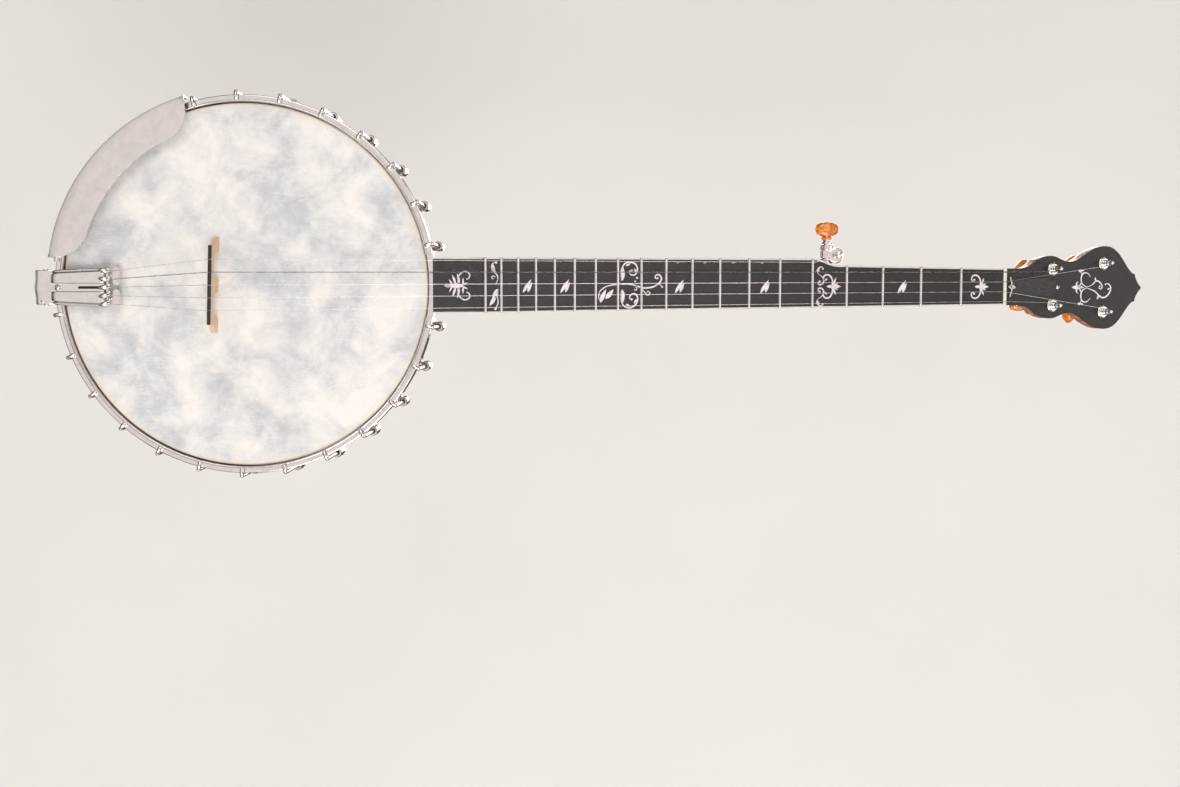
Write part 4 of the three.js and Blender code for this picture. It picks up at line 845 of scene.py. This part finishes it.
def build_inlays():
    s = Inlay()

    def moved(points, u, v=0, flip=1):
        return [(u + x, v + flip * y) for x, y in points]

    # palmette at the pot's end; the board is scooped there, so it sits lower
    base, u = Inlay(), 27.4
    base.leaf(u - 2, 0, 15.6, 180, 0.26)
    base.leaf(u - 12.4, 0, 5.8, 180, 0.5)
    for side in (1, -1):
        for x, y, length, angle in ((-11.5, 0.6, 5.6, 112), (-8.6, 1.2, 8.4, 104), (-5.6, 1.8, 8.8, 96),
                                    (-2.6, 0.8, 6, 84)):
            base.leaf(u + x, side * y, length, side * angle, 0.24, 0.1 * side)
        base.stroke(moved([(-6.8, 1.7), (-6.5, 6.8), (-4.2, 10.3), (-0.3, 11.7), (2.9, 9.6), (2.6, 6.6),
                           (0.5, 5.2)], u, 0, side), 1.15, 0.5, 0.6)
        base.dot(u + 0.9, side * 5.6, 0.7)
        base.leaf(u - 3, side * 0.6, 5.2, side * 24, 0.26)
    base.verts = [(x, y, z - 1.5) for x, y, z in base.verts]

    # pairs of slender leaves between the frets
    for n in (17, 15, 10, 7, 3):
        u = (fret_u(n) + fret_u(n - 1)) / 2
        s.leaf(u - 3.6, -6, 13.8, 60, 0.2, -0.04)
        s.leaf(u + 0.6, -5.4, 9.4, 72, 0.27, -0.08)

    # tall scroll across the board
    u = (fret_u(19) + fret_u(18)) / 2
    s.stroke(moved([(2.6, 19.5), (0, 18.8), (-1.5, 15.5), (0.3, 11.7), (3.3, 8.7), (3.6, 5), (1.8, 0.8)], u),
             1.2)
    s.dot(u + 2.4, 19.3, 1)
    s.leaf(u + 2.6, 9.4, 8.6, 126, 0.26, -0.1)
    s.leaf(u + 1.4, 12, 7, 112, 0.26, -0.1)
    s.curl(u - 0.2, 6.4, 2, 20, 240, 0.8)
    s.leaf(u + 4, -2.5, 9.6, 236, 0.34, 0.06)
    s.leaf(u + 1.8, -9.6, 8.8, 232, 0.36, 0.06)
    s.leaf(u + 3.6, -4, 6.4, 262, 0.26)
    s.stroke(moved([(3.3, -8.6), (3.9, -14), (1.9, -19.2)], u), 1)
    s.dot(u + 1.8, -19.3, 1)

    # the large vine across the twelfth fret
    u = fret_u(12)
    s.stroke(moved([(-14.6, -13.8), (-16.2, -9.3), (-15, -4.4), (-10.5, -0.8), (-4.5, 0.9), (1.5, 1.5),
                    (9, 1.7), (15, 0.5), (21, -1.5), (28.5, -1), (33.8, 1.7), (36.8, 5.7), (35.3, 9.2),
                    (32.3, 9.2), (31.5, 6.8), (33.6, 6.2)], u), 1.35, 0.4, 0.4, 0.75)
    s.dot(u + 33.4, 6.5, 0.9)
    s.leaf(u - 14.8, -14.2, 12.6, 73, 0.28, -0.1)
    s.leaf(u - 10.6, -10.8, 10.6, 46, 0.36, 0.05)
    for side, points, foot in ((1, [(3, 4.5), (2.7, 12.5), (5.3, 18.2), (9.8, 20), (15, 18.2), (16.5, 13.2),
                                    (14.3, 9.5), (10.8, 9.5), (9.8, 12.5), (12.1, 13)], 4.4),
                               (-1, [(3.4, 2.9), (2.7, 10.8), (4.8, 16.4), (9.8, 18.3), (14.7, 15.8),
                                     (16.8, 10.8), (15, 6.8), (11.3, 7.1), (9.8, 10.1), (12, 11.2)], 2.6)):
        s.stroke(moved(points, u, 0, side), 1.3, 0.4, 0.5, 0.4)
        s.dot(u + 11.6, side * points[-1][1], 0.95)
        s.leaf(u + 3.6, side * foot, 11.8, side * 84, 0.3, 0.04 * side)
        s.leaf(u + 6.6, side * (foot + 12.5), 4.6, side * 26, 0.36)
        s.leaf(u + 15.8, side * 11, 4.6, side * 120, 0.36)
    s.dot(u + 16.2, 6.8, 0.9)
    s.dot(u + 14.6, 4, 0.75)
    s.curl(u + 14.6, -2.6, 1.9, 90, -230, 0.8)
    s.stroke(moved([(19.5, -1.2), (22.2, -4.6), (25, -7.6), (27.2, -5.8), (25.6, -4.2)], u), 1)
    s.dot(u + 25.4, -4.6, 0.75)
    s.stroke(moved([(30.5, 0), (35, 1.6), (37.4, -0.6)], u), 0.9)
    s.dot(u + 37.4, -0.6, 0.85)

    def fleur(u, v=0):
        for side in (1, -1):
            s.stroke(moved([(-0.2, 0.3), (0.4, 4.4), (-1.1, 8.2), (-3.8, 9.9), (-6.5, 9.2), (-7.6, 6.5),
                            (-6.3, 4.7), (-4.8, 5.7)], u, v, side), 1.3, 0.6, 0.4, 0.35)
            s.dot(u - 5.1, v + side * 5.9, 0.95)
            s.leaf(u + 0.4, v + side * 0.6, 7.6, side * 62, 0.24, 0.08 * side)
            s.leaf(u + 1, v + side * 0.3, 5, side * 32, 0.3)
        s.leaf(u - 0.3, v, 8.2, 0, 0.36)
        s.leaf(u + 0.4, v, 5.2, 180, 0.5)

    # two hooked scrolls and a fleur after the fifth fret, and a fleur beside the nut
    u = FIFTH
    for side in (1, -1):
        s.stroke(moved([(9.3, 15.4), (7.3, 16.6), (4.9, 15.2), (3.9, 12.7), (5.2, 10.4)], u, 0, side), 1)
        s.dot(u + 9, side * 15, 0.8)
        s.stroke(moved([(5, 10.6), (8.2, 8.4), (9.8, 5), (8.5, 2), (5.9, 1.5), (4.8, 3.4), (6.2, 4.6)], u, 0,
                       side), 1.15)
        s.dot(u + 6.3, side * 4.3, 0.85)
        s.leaf(u + 4.6, side * 12, 4, side * 70, 0.36)
    fleur(u + 17)
    fleur(fret_u(1) + 16.8)
    make("fretboard_inlay", s, NECK, PEARL, sharp=30)
    make("scoop_inlay", base, NECK, PEARL, sharp=30)

    # peghead: a small fleur, two C scrolls back to back and two curling vines
    p = Inlay()
    p.leaf(76, 0, 7.2, 180, 0.44)
    p.leaf(74, 0, 8.5, 0, 0.22)
    for side in (1, -1):
        p.stroke([(78.8, 0.2 * side), (75, 1.2 * side), (73.9, 3.6 * side), (75.8, 5.4 * side)], 1.5, 0.5,
                 0.2, 0.4)
        p.leaf(77, 0.4 * side, 4.4, 66 * side, 0.3)
        p.stroke([(88.9, 9.4 * side), (86.1, 12.2 * side), (82.5, 13.0 * side), (79.6, 10.8 * side),
                  (78.8, 6.7 * side), (80.5, 2.6 * side), (85.4, 0.2 * side)], 1.2, 0.3, 0.5, 0.6)
        p.dot(77, 14.6 * side, 1.15)
        p.leaf(77.6, 14.4 * side, 4.6, 10 * side, 0.3)
        p.stroke([(77.4, 14.2 * side), (79.2, 12.4 * side), (79.2, 9.6 * side)], 0.9)
    p.stroke([(84.6, 0.2), (90.3, 2), (93.7, 4.9), (96.4, 5.9), (99.4, 4.4), (101.7, 1.4), (100.8, -1.1),
              (98.4, -0.4), (98.6, 1)], 1.25)
    p.dot(99, 0.9, 0.8)
    p.leaf(94.6, 5.2, 4.2, 100, 0.36)
    p.stroke([(84.6, -0.2), (90.3, -2.1), (94.6, -3.9), (98.6, -7.3), (102.7, -9), (107.5, -7.3),
              (110.8, -2.7), (111, 0.9), (107.8, 3.6), (105.2, 3)], 1.4, 0.4, 0.3, 0.6)
    p.dot(105.4, 2.8, 0.8)
    p.leaf(110.6, -0.6, 3.4, 200, 0.4)
    p.leaf(98.4, -7, 4.4, 242, 0.4)
    make("peghead_inlay", p, PEGHEAD, PEARL, sharp=30)


# ---- Peghead and pegs ----
def build_peghead():
    overlay = Shape().prism(PEGHEAD_OUTLINE, -2, 0)
    make("peghead_overlay_ebony", overlay, PEGHEAD, EBONY, replaces="peghead_overlay",
         bevel=0.5, segments=3)
    half = bezier((3.4, 8.4), (14, 6.8), (25, 7.6), (41, 8.3), (47, 8.5), (51, 4.6), (54.6, 2.2), (55.4, 1.6),
                  (55.6, 0.9), (55.6, 0), steps=8)
    brace = bezier((2, 0), (3, 0.6), (5.6, 1), (5, 3.4), (4.4, 5.4), (3.6, 6.6), (3.4, 8.4), steps=7)
    cover = [(q.x, q.y) for q in brace[:-1]] + [(q.x, q.y) for q in half]
    outline = cover + [(x, -y) for x, y in reversed(cover[1:-1])]
    s = Shape().prism(outline, 0.05, 1.6)
    make("truss_cover_ebony", s, PEGHEAD, COVER_EBONY, replaces="truss_rod_cover", bevel=0.35,
         segments=3)
    edge = Shape()
    path = [(q.x - 0.1, q.y) for q in brace]
    path = [(x, -y) for x, y in reversed(path[1:])] + path
    edge.tube([(x, y, 1.1) for x, y in path], 0.62, 8)
    make("truss_cover_binding", edge, PEGHEAD, BINDING)
    screws = Shape()
    screw(screws, move(6.6, 0, 1.6), 1.9, 0.9, 30)
    screw(screws, move(52.6, 0, 1.6), 1.9, 0.9, 75)
    make("truss_cover_screws", screws, PEGHEAD, [NICKEL, PAINTED_SHADE])


def button_shape(s, long, wide, high, top, at=None, slot=0):
    """An oval knob, pinched where it meets its shaft, with a shallow dished end."""
    rings = []
    for t, share, thick in (
            (0, 0.36, 0.72), (0.02, 0.44, 0.86), (0.08, 0.47, 0.92), (0.13, 0.44, 0.86), (0.17, 0.38, 0.74),
            (0.2, 0.42, 0.76), (0.25, 0.62, 0.84), (0.33, 0.84, 0.93), (0.44, 0.96, 0.99), (0.58, 1, 1),
            (0.72, 0.97, 0.98), (0.85, 0.87, 0.9), (0.94, 0.7, 0.74), (0.98, 0.56, 0.58), (1, 0.38, 0.4)):
        rings.append([(long / 2 * share * cos(a), wide / 2 * thick * sin(a), top - high * t)
                      for a in (2 * pi * k / 40 for k in range(40))])
    s.loft(rings, False, at, slot)


def build_pegs():
    turns = {"fourth": 66, "first": 6, "third": 52, "second": 88}
    back = -2.2 - CORE_T - 0.3
    for name, (s0, v0) in PEGS.items():
        where = PEGHEAD @ move(s0, v0, 0)
        h = Shape()
        h.lathe([(3.15, 0.05), (5.6, 0.05), (5.8, 0.3), (5.8, 0.9), (5.5, 1.3), (4.9, 1.45), (4.5, 1.75),
                 (3.15, 1.8)], 40)
        # the housing behind: a flanged can with two stepped rings
        h.lathe([(3.2, back), (8.5, back), (8.5, back - 1), (8.1, back - 1.5), (7.2, back - 1.9),
                 (7, back - 6), (7.3, back - 6.5), (7.3, back - 8.6), (6.9, back - 9.2), (6.4, back - 9.6),
                 (6.3, back - 14.8), (5.9, back - 15.6), (4.6, back - 16.6), (3.2, back - 17)], 40)
        h.lathe([(3.2, back - 0.5), (4.3, back - 0.5), (4.3, 0.4), (3.2, 0.4)], 24)
        make("peg_can_" + name, h, where, NICKEL, replaces="peg_housing_" + name, sharp=45)
        p = Shape()
        p.lathe([(0, 12), (0.9, 11.9), (1.6, 11.4), (2, 10.6), (2.05, 9.8), (1.7, 8.9), (1.75, 7.6), (2, 6.2),
                 (2.3, 5.2), (3, 4.8), (3, 3.4), (2.9, 3.1), (2.9, -20), (0, -20)], 28)
        make("peg_post_turned_" + name, p, where, NICKEL, "post_" + name, replaces="peg_post_" + name,
             sharp=40)
        b = Shape()
        low = back - 17
        button_shape(b, 22, 10.5, 13, low - 1.2, turn(turns[name]))
        b.lathe([(0, low + 2), (2.6, low + 2), (2.6, low - 1.8), (0, low - 1.8)], 20, None, 1)
        screw(b, move(0, 0, low - 14) @ turn(180, "X"), 2.2, 0.8, 20, 1, 2)
        make("peg_knob_" + name, b, where, [AMBER, NICKEL, PAINTED_SHADE], "button_" + name,
             replaces="peg_button_" + name, sharp=50)


def build_fifth_peg():
    u = FIFTH + 14.6
    shoulder = bass(u - 5.6) + 0.3
    post_u, post_v = FIFTH_POST_U, bass(FIFTH_POST_U) + 8.5
    out = move(u, 0, -9) @ turn(-90, "X")  # z runs out along +v
    end = shoulder + 13.3
    h = Shape()
    h.lathe([(0, shoulder - 9), (3.1, shoulder - 9), (3.2, shoulder), (5.4, shoulder), (5.6, shoulder + 0.4),
             (5.6, shoulder + 1.6), (4.7, shoulder + 2.2), (4.7, end - 4.4), (5.4, end - 4), (5.6, end - 3.6),
             (5.6, end - 0.5), (5.2, end), (2.75, end), (2.75, end - 5), (0, end - 5)], 36, out)
    case = move(post_u, post_v, -9)
    h.lathe([(2.75, -5), (6.4, -5), (7, -4.4), (7, 3.6), (6.7, 4.4), (5.4, 5), (2.75, 5)], 36, case)
    h.brick((u - 4.2, shoulder + 2.4, -13.2), (post_u, end - 4.6, -4.9))
    screw(h, move(u + 0.5, post_v + 1, -4.9), 1.7, 0.7, 40, 0, 1)
    make("fifth_peg_case", h, NECK, [NICKEL, PAINTED_SHADE], replaces="peg_housing_fifth", bevel=0.5)
    p = Shape().lathe([(0, 7), (1.4, 6.9), (2.3, 6.4), (2.5, 5.6), (2.2, 4.8), (1.9, 4), (1.9, 2.6),
                       (2.3, 1.6), (2.6, 0.8), (2.6, -13.4), (0, -13.4)], 28, move(post_u, post_v, 0))
    make("fifth_post_turned", p, NECK, NICKEL, "post_fifth", replaces="peg_post_fifth")
    b = Shape()
    start = end + 4.5
    flip = out @ move(0, 0, start) @ turn(180, "X")
    button_shape(b, 20.6, 10.5, 15, 0, flip)
    b.lathe([(0, end - 4.6), (2.6, end - 4.6), (2.6, end + 0.6), (4.5, end + 0.6), (4.6, end + 1),
             (4.4, end + 2.6), (3.4, end + 3.2), (3.6, start + 0.6), (0, start + 0.6)], 28, out, 1)
    screw(b, out @ move(0, 0, start + 14.8), 2.2, 0.7, 0, 1, 2)
    make("fifth_peg_knob", b, NECK, [AMBER, NICKEL, PAINTED_SHADE], "button_fifth", replaces="peg_button_fifth",
         sharp=50)


# ---- Strings, bridge, tailpiece and armrest ----
def build_strings():
    from_neck, from_peghead = INSTRUMENT.inverted() @ NECK, INSTRUMENT.inverted() @ PEGHEAD
    for i, (name, r) in enumerate(STRINGS.items()):
        across = 2 - i
        y = across * BRIDGE_SPACING
        x = BRIDGE_X + y * math.tan(rad(2))
        start = Vector((CLAW_X, across * CLAW_SPACING + TAIL_Y, TAIL_TOP + 0.9))
        apex = Vector((x, y, BRIDGE_TOP + r * 0.4))
        s = Shape()
        if name == "fifth":
            post_v = bass(FIFTH_POST_U) + 8.5
            rest = from_neck @ Vector((FIFTH + 0.6, BASS_W - 3.2, 1.6 + r))
            wrap = 1.9 + r
            coil = [from_neck @ Vector((FIFTH_POST_U + wrap * cos(t), post_v + wrap * sin(t), 3.2 - 0.12 * k))
                    for k, t in ((k, -pi / 2 + 0.5 * k) for k in range(40))]
        else:
            s0, v0 = PEGS[name]
            side = math.copysign(1, v0)
            rest = from_neck @ Vector((NUT_U + 0.3, (2.5 - i) * NUT_SPACING, 0.55 + r))
            wrap = 1.85 + r
            coil = [from_peghead @ Vector((s0 + wrap * cos(t), v0 + wrap * sin(t), 8.0 - 2.1 * r * k / 12.6))
                    for k, t in ((k, side * (0.5 * k - pi / 2)) for k in range(50))]
        hump = [apex + Vector((-0.9, 0, -0.22)), apex, apex + Vector((0.9, 0, -0.04))]
        s.tube([start, *hump, rest], r, 8)
        s.tube([rest, rest.lerp(coil[0], 0.98)] + coil, r, 6)
        make("string_wire_" + name, s, INSTRUMENT, WOUND if name == "fourth" else WIRE,
             replaces="string_" + name, sharp=60)


def build_bridge():
    half = bezier((5.4, 0.05), (5.9, 5.4), (7.2, 9.6), (13.5, 9.7), (21, 9.8), (27, 8.6), (28.4, 0.05),
                  steps=8)
    half += bezier((39.5, 0.05), (39.4, 4.6), (35.5, 5.8), (34, 9.2), (32.9, 11.6), (32.6, 12.6),
                   (32.5, 14.7), steps=8)
    outline = [(p.x, p.y) for p in half]
    outline = outline + [(-x, y) for x, y in reversed(outline)]
    stand = INSTRUMENT @ move(BRIDGE_X, 0, 0) @ turn(-2)
    up = Matrix(((0, 0, 1, 0), (-1, 0, 0, 0), (0, 1, 0, 0), (0, 0, 0, 1)))
    wood = Shape().loft([[(x, z, side * lerp(2.5, 1.5, z / 15)) for x, z in outline] for side in (-1, 1)],
                        False, up)
    make("bridge_wood", wood, stand, BRIDGE_WOOD, replaces="bridge", bevel=0.35)
    crest = [(-32.4, 14.75), (-32.4, 16.3)]
    for i in range(5):
        x = (i - 2) * BRIDGE_SPACING
        crest += [(x - 0.5, 16.4), (x - 0.28, 15.95), (x + 0.28, 15.95), (x + 0.5, 16.4)]
    crest += [(32.4, 16.3), (32.4, 14.75)]
    ebony_top = Shape().loft([[(x, z, side * lerp(1.5, 1.15, clamp((z - 14.7) / 1.8))) for x, z in crest]
                              for side in (-1, 1)], False, up)
    make("bridge_ebony", ebony_top, stand, EBONY, bevel=0.12, segments=1)


def build_tailpiece():
    """Folded plate: a bend over the hoop, two crowned flats beside a channel, claws, and two padded feet."""
    top, s = TAIL_TOP, Shape()
    shift = move(0, TAIL_Y, 0)
    # the bend over the hoop, fuller at its middle
    bend = [(-171.4, -5), (-171.4, -2.6), (-170.9, -1.2), (-169.6, -0.3), (-167.4, 0.05), (-161, 0.1),
            (-159, -0.15), (-157.4, -0.8), (-156.4, -1.7), (-155.4, -2), (-155.4, -2.9), (-168.6, -2.9),
            (-169.2, -5)]
    rings = []
    for y, inset in ((-14.2, 0.7), (-13.9, 0.25), (-13.2, 0), (-8, 0), (-5, -0.35), (-2, -0.9), (1.5, -0.9),
                     (4.5, -0.3), (8, 0), (13.2, 0), (13.9, 0.25), (14.2, 0.7)):
        rings.append([(x + (inset if x < -165 else 0), y, top + z - max(0, inset) * (0.6 if z > -2 else 0))
                      for x, z in bend])
    s.loft(rings, False, shift)
    s.prism([(-170.4, -12.6), (-170.4, 12.6), (-168.2, 12.6), (-168.2, -12.6)], -13.5, top - 4, shift)
    s.prism([(-170.3, -8), (-170.3, 8), (-168, 8), (-168, -8)], -48, -13)
    s.prism([(-170.3, -8), (-170.3, 8), (-168, 8), (-168, -8)], -50.5, -48)
    for y in (-14, 14):
        s.lathe([(0, -0.9), (1.9, -0.9), (2.1, -0.5), (2.1, 0.5), (1.9, 0.9), (0, 0.9)], 16,
                shift @ move(-163.4, y, 2.6) @ turn(90, "X"))
    # two crowned flats with a rolled outer edge
    for side in (1, -1):
        rings = []
        for x, w, up in ((-158.4, 13.4, -1.3), (-157, 13.8, -0.7), (-155.4, 14.2, -0.1), (-153.6, 14.4, 0.15),
                         (-151, 14.6, 0.2), (-134, 15.4, 0.2), (-118.4, 16.1, 0.2), (-115.6, 16.2, 0),
                         (-114.6, 16.2, -0.8)):
            line = [(3.2, -1.9), (3.2, -0.3), (3.4, 0.2), (4.1, 0.5), (6, 0.62), (w * 0.6, 0.66),
                    (w - 3.6, 0.5), (w - 2.7, 0.25), (w - 2.3, -0.35), (w - 1.9, -0.45), (w - 1.4, -0.1),
                    (w - 0.7, -0.15), (w - 0.15, -0.7), (w, -1.5), (w - 0.1, -3.2), (w - 1.2, -3.2),
                    (w - 1.3, -1.9)]
            rings.append([(x, side * y, top + z + up) for y, z in line])
        s.loft(rings, False, shift)
    s.prism([(-156, -3.6), (-156, 3.6), (-115.2, 3.6), (-115.2, -3.6)], top - 2.2, top - 1.45, shift)
    # a black sheet in the channel stands for the slot's dark inside: painted shade
    s.prism([(-136.8, -0.6), (-135.8, -1.1), (-119, -1.1), (-118, 0), (-118.6, 1.1), (-135.6, 1.1)],
            top - 1.5, top - 1.4, shift, 1)
    # five claws, each curled over its string's loop
    for i in range(5):
        y = (2 - i) * CLAW_SPACING
        lean = (i - 2) * -0.7
        s.tube([(-118.6, y + lean, top + 0.3), (-116.6, y + lean * 0.8, top + 1.5),
                (-114.4, y + lean * 0.4, top + 2.2), (-112.2, y, top + 1.9),
                (-110.4, y - lean * 0.4, top + 0.5), (-110.2, y - lean * 0.6, top - 1.4)],
               [0.7, 1.7, 2.2, 2, 1.5, 1], 14, shift)
        s.ball((-110.1, y + 2.4 - lean, top + 0.1), 1.3, 12, shift)
        s.tube([(-114, y + 1.4, top + 1), (-111.5, y + 2, top + 1.5), (-109.6, y + 2.6, top - 0.2)],
               [0.9, 1.2, 0.7], 10, shift)
    # the feet: two padded bars on a cross bar
    s.tube([(-112.4, -14.6, top - 1.6), (-112.4, 14.6, top - 1.6)], 1.3, 12, shift)
    for y0, y1 in ((1.9, 16.6), (-17.1, -1.6)):
        mid, ex, ey = (y0 + y1) / 2, 3, (y1 - y0) / 2
        for inset, low, high in ((0, 4.2, 6.2), (0.7, 6.2, 6.6)):
            pad = []
            for k in range(36):
                t = 2 * pi * k / 36
                pad.append((-104.6 + (ex - inset) * math.copysign(abs(cos(t)) ** 0.5, cos(t)),
                            mid + (ey - inset) * math.copysign(abs(sin(t)) ** 0.75, sin(t))))
            s.prism(pad, low, high, shift)
        s.tube([(-112.4, mid, top - 1.8), (-106, mid, 5.2)], 1.3, 10, shift)
    screw(s, shift @ move(-153.2, 0, top - 1.5), 2.6, 1.5, 55, 0, 1)
    screw(s, shift @ move(-165.2, -11.4, top - 0.1), 1.3, 0.45, 10, 0, 1)
    make("tailpiece_plated", s, INSTRUMENT, [NICKEL, PAINTED_SHADE], replaces="tailpiece", sharp=48)


def build_armrest():
    """A sheet that follows the hoop: flat towards the head, folded down past the hooks."""
    a0, a1 = rad(106.8), rad(171.8)
    outer, inner = 161.5, 133.2
    under, thick = 6.7, 1.4
    s, rings = Shape(), []
    for k in range(73):
        a = lerp(a0, a1, k / 72)
        # the inner edge draws out to the hoop in a round corner at each end
        near0, near1 = (a - a0) * 150, (a1 - a) * 150
        near, reach = min(near0, near1), 30.0 if near1 < near0 else 26.0
        inset = 1 - math.sqrt(max(0, 1 - (1 - near / reach) ** 2.3)) if near < reach else 0
        edge = lerp(inner, outer - 2.6, inset)
        shoulder = max(outer - 7.2, edge + 0.6)
        tops = [(edge, under + thick * 0.4), (edge + 0.12, under + thick * 0.75), (edge + 0.4, under + thick),
                (lerp(edge, shoulder, 0.5), under + thick), (shoulder - 0.3, under + thick),
                (shoulder + 0.1, under + thick - 0.12), (lerp(shoulder, outer, 0.6), under + thick - 0.4),
                (lerp(shoulder, outer, 0.88), under + thick - 0.9), (outer - 0.15, under + thick - 2.2),
                (outer, under - 3.6), (outer, under - 8.4)]
        lows = [(outer - thick, under - 8.4), (outer - thick, under - 3.4),
                (outer - thick - 0.2, under - 1.8), (lerp(shoulder, outer, 0.6) - 0.3, under - 0.6),
                (lerp(shoulder, outer, 0.35), under - 0.1), (max(shoulder - 0.3, edge + 0.4), under),
                (lerp(edge, shoulder, 0.5), under), (edge + 0.5, under + 0.1)]
        rings += round_z(tops + lows, [a])
    s.loft(rings)
    for hook in (8.5, 10.5):
        at = turn(FIRST_HOOK + HOOK_STEP * hook)
        s.prism([(outer - 2.2, -6), (outer - 0.6, -6), (outer - 0.6, 6), (outer - 2.2, 6)], -18.2, under - 2,
                at)
        s.prism([(151.5, -6), (outer - 0.7, -6), (outer - 0.7, 6), (151.5, 6)], -18.2, -16.5, at)
        s.tube([(155.6, 0, -22), (155.6, 0, -14.8)], 2, 14, at)
        s.lathe([(0, -22.6), (3.4, -22.6), (3.6, -22.2), (3.6, -19), (3.3, -18.4), (0, -18.4)], 6,
                at @ move(155.6, 0, 0))
    s.tube([(155.0 * cos(a1 + 0.018), 155.0 * sin(a1 + 0.018), 3.8), (155.0 * cos(a1 - 0.05),
            155.0 * sin(a1 - 0.05), 4.6)], 2.3, 14)
    make("armrest_plated", s, INSTRUMENT, NICKEL, replaces="armrest", bevel=0.3, sharp=32)


for build in (build_pot, build_brackets, build_rod, build_neck, build_fretboard, build_inlays, build_peghead,
              build_pegs, build_fifth_peg, build_strings, build_bridge, build_tailpiece, build_armrest):
    build()

# ---- Set, lights and camera ----
scene = bpy.context.scene
FLOOR_Z, WALL_Y, SWEEP = -1.75, 0.65, 0.4


def backdrop():
    """A pale matt sweep: a floor that curves up into a wall; the nickel reflects the studio past it."""
    profile = [(-14, FLOOR_Z), (WALL_Y - SWEEP, FLOOR_Z)]
    profile += [(WALL_Y - SWEEP + SWEEP * sin(t), FLOOR_Z + SWEEP - SWEEP * cos(t))
                for t in (pi / 2 * k / 16 for k in range(1, 17))]
    profile += [(WALL_Y, 9)]
    verts = [(x, y, z) for x in (-14, 14) for y, z in profile]
    count = len(profile)
    mesh = bpy.data.meshes.new("sweep")
    mesh.from_pydata(verts, [], [(i, i + count, i + 1 + count, i + 1) for i in range(count - 1)])
    mesh.shade_smooth()
    n = material("pale_paper", Roughness=0.9)
    n.set("Base Color", n.ramp(n.speckle(n.place(), 3, 2), (0.3, "#ecebe9"), (0.7, "#efeeec")))
    hidden = n.maths("MAXIMUM", n.add("ShaderNodeNewGeometry").outputs["Backfacing"],
                     n.add("ShaderNodeLightPath").outputs["Is Glossy Ray"])
    clear = n.add("ShaderNodeBsdfTransparent").outputs[0]
    n.feed(n.out.inputs[0], n.add("ShaderNodeMixShader", {0: hidden, 1: n.bsdf.outputs[0],
            2: clear}).outputs[0])
    mesh.materials.append(n.owner)
    linked("sweep", mesh)


backdrop()


def softbox(name, at, size, power):
    """A rectangular lamp that faces the banjo's middle."""
    light = bpy.data.lights.new(name, "AREA")
    light.shape, light.size, light.size_y = "RECTANGLE", size[0], size[1]
    light.energy = power
    light.color = rgb("#fffaf7")[:3]
    obj = linked(name, light)
    obj.location = at
    obj.rotation_euler = (Vector((0, 0, -0.35)) - Vector(at)).to_track_quat("-Z", "Y").to_euler()


softbox("key", (1.7, -2, -0.2), (1.8, 1.8), 46)
softbox("fill", (-1.9, -1.9, -0.4), (1.6, 2), 18)
softbox("top", (0.1, -0.9, 2), (1.6, 1.4), 12)
softbox("back_fill", (-0.6, 2.6, 0.6), (2, 2), 42)


def studio():
    """What the nickel mirrors: a bright panel in front, one behind, and streaks at the sides."""
    n = Nodes(bpy.data.worlds.new("studio"))
    rays = n.add("ShaderNodeLightPath").outputs
    x, y, z = n.split(n.add("ShaderNodeTexCoord").outputs["Generated"])
    front = n.ramp(n.times(y, -1), (0, 0.012), (0.42, 0.03), (0.66, 0.6), (0.84, 0.9), ease="EASE")
    rear = n.ramp(y, (0, 0), (0.5, 0.02), (0.66, 0.75), (0.78, 0.75), (0.88, 0.08), ease="EASE")
    strips = n.plus(n.times(x, 3), n.times(z, 2.2))
    bands = n.ramp(n.maths("PINGPONG", n.plus(strips, 9.3), 1), (0.6, 0), (0.68, 0.8), (0.9, 0.95))
    beside = n.ramp(n.maths("ABSOLUTE", y), (0, 1), (0.24, 0.8), (0.4, 0))
    mirrored = n.mix(1, n.mix(beside, n.plus(front, rear), bands, "LIGHTEN"), rgb("#fff7f4"), "MULTIPLY")
    lit = n.mix(rays["Is Glossy Ray"], rgb("#9c9a98"), mirrored)
    seen = n.mix(rays["Is Camera Ray"], lit, rgb("#e9e8e6"))
    back = n.add("ShaderNodeBackground", {0: seen, 1: 1.0})
    n.add("ShaderNodeOutputWorld", {0: back.outputs[0]})
    return n.owner


scene.world = studio()

# the camera stands where the photo's did: focal length and shift in the photo's pixels
PHOTO_WIDTH, FOCAL, SHIFT = 1180, 1054, -0.03
camera_data = bpy.data.cameras.new("camera")
camera_data.sensor_width, camera_data.lens, camera_data.shift_y = 36, FOCAL / PHOTO_WIDTH * 36, SHIFT
camera_data.clip_start, camera_data.clip_end = 0.02, 50
camera = linked("camera", camera_data)
turned = turn(-0.06) @ turn(0.72, "Y") @ turn(-1, "X")
lean = math.atan((107.5 + SHIFT * PHOTO_WIDTH) / FOCAL)
aim = turned.inverted() @ Matrix.Rotation(-lean, 4, "X")
camera.matrix_world = Matrix.Translation(INSTRUMENT @ Vector((274, -15.5, 879.5))) @ TURN @ aim
scene.camera = camera
scene.view_settings.view_transform = "Standard"
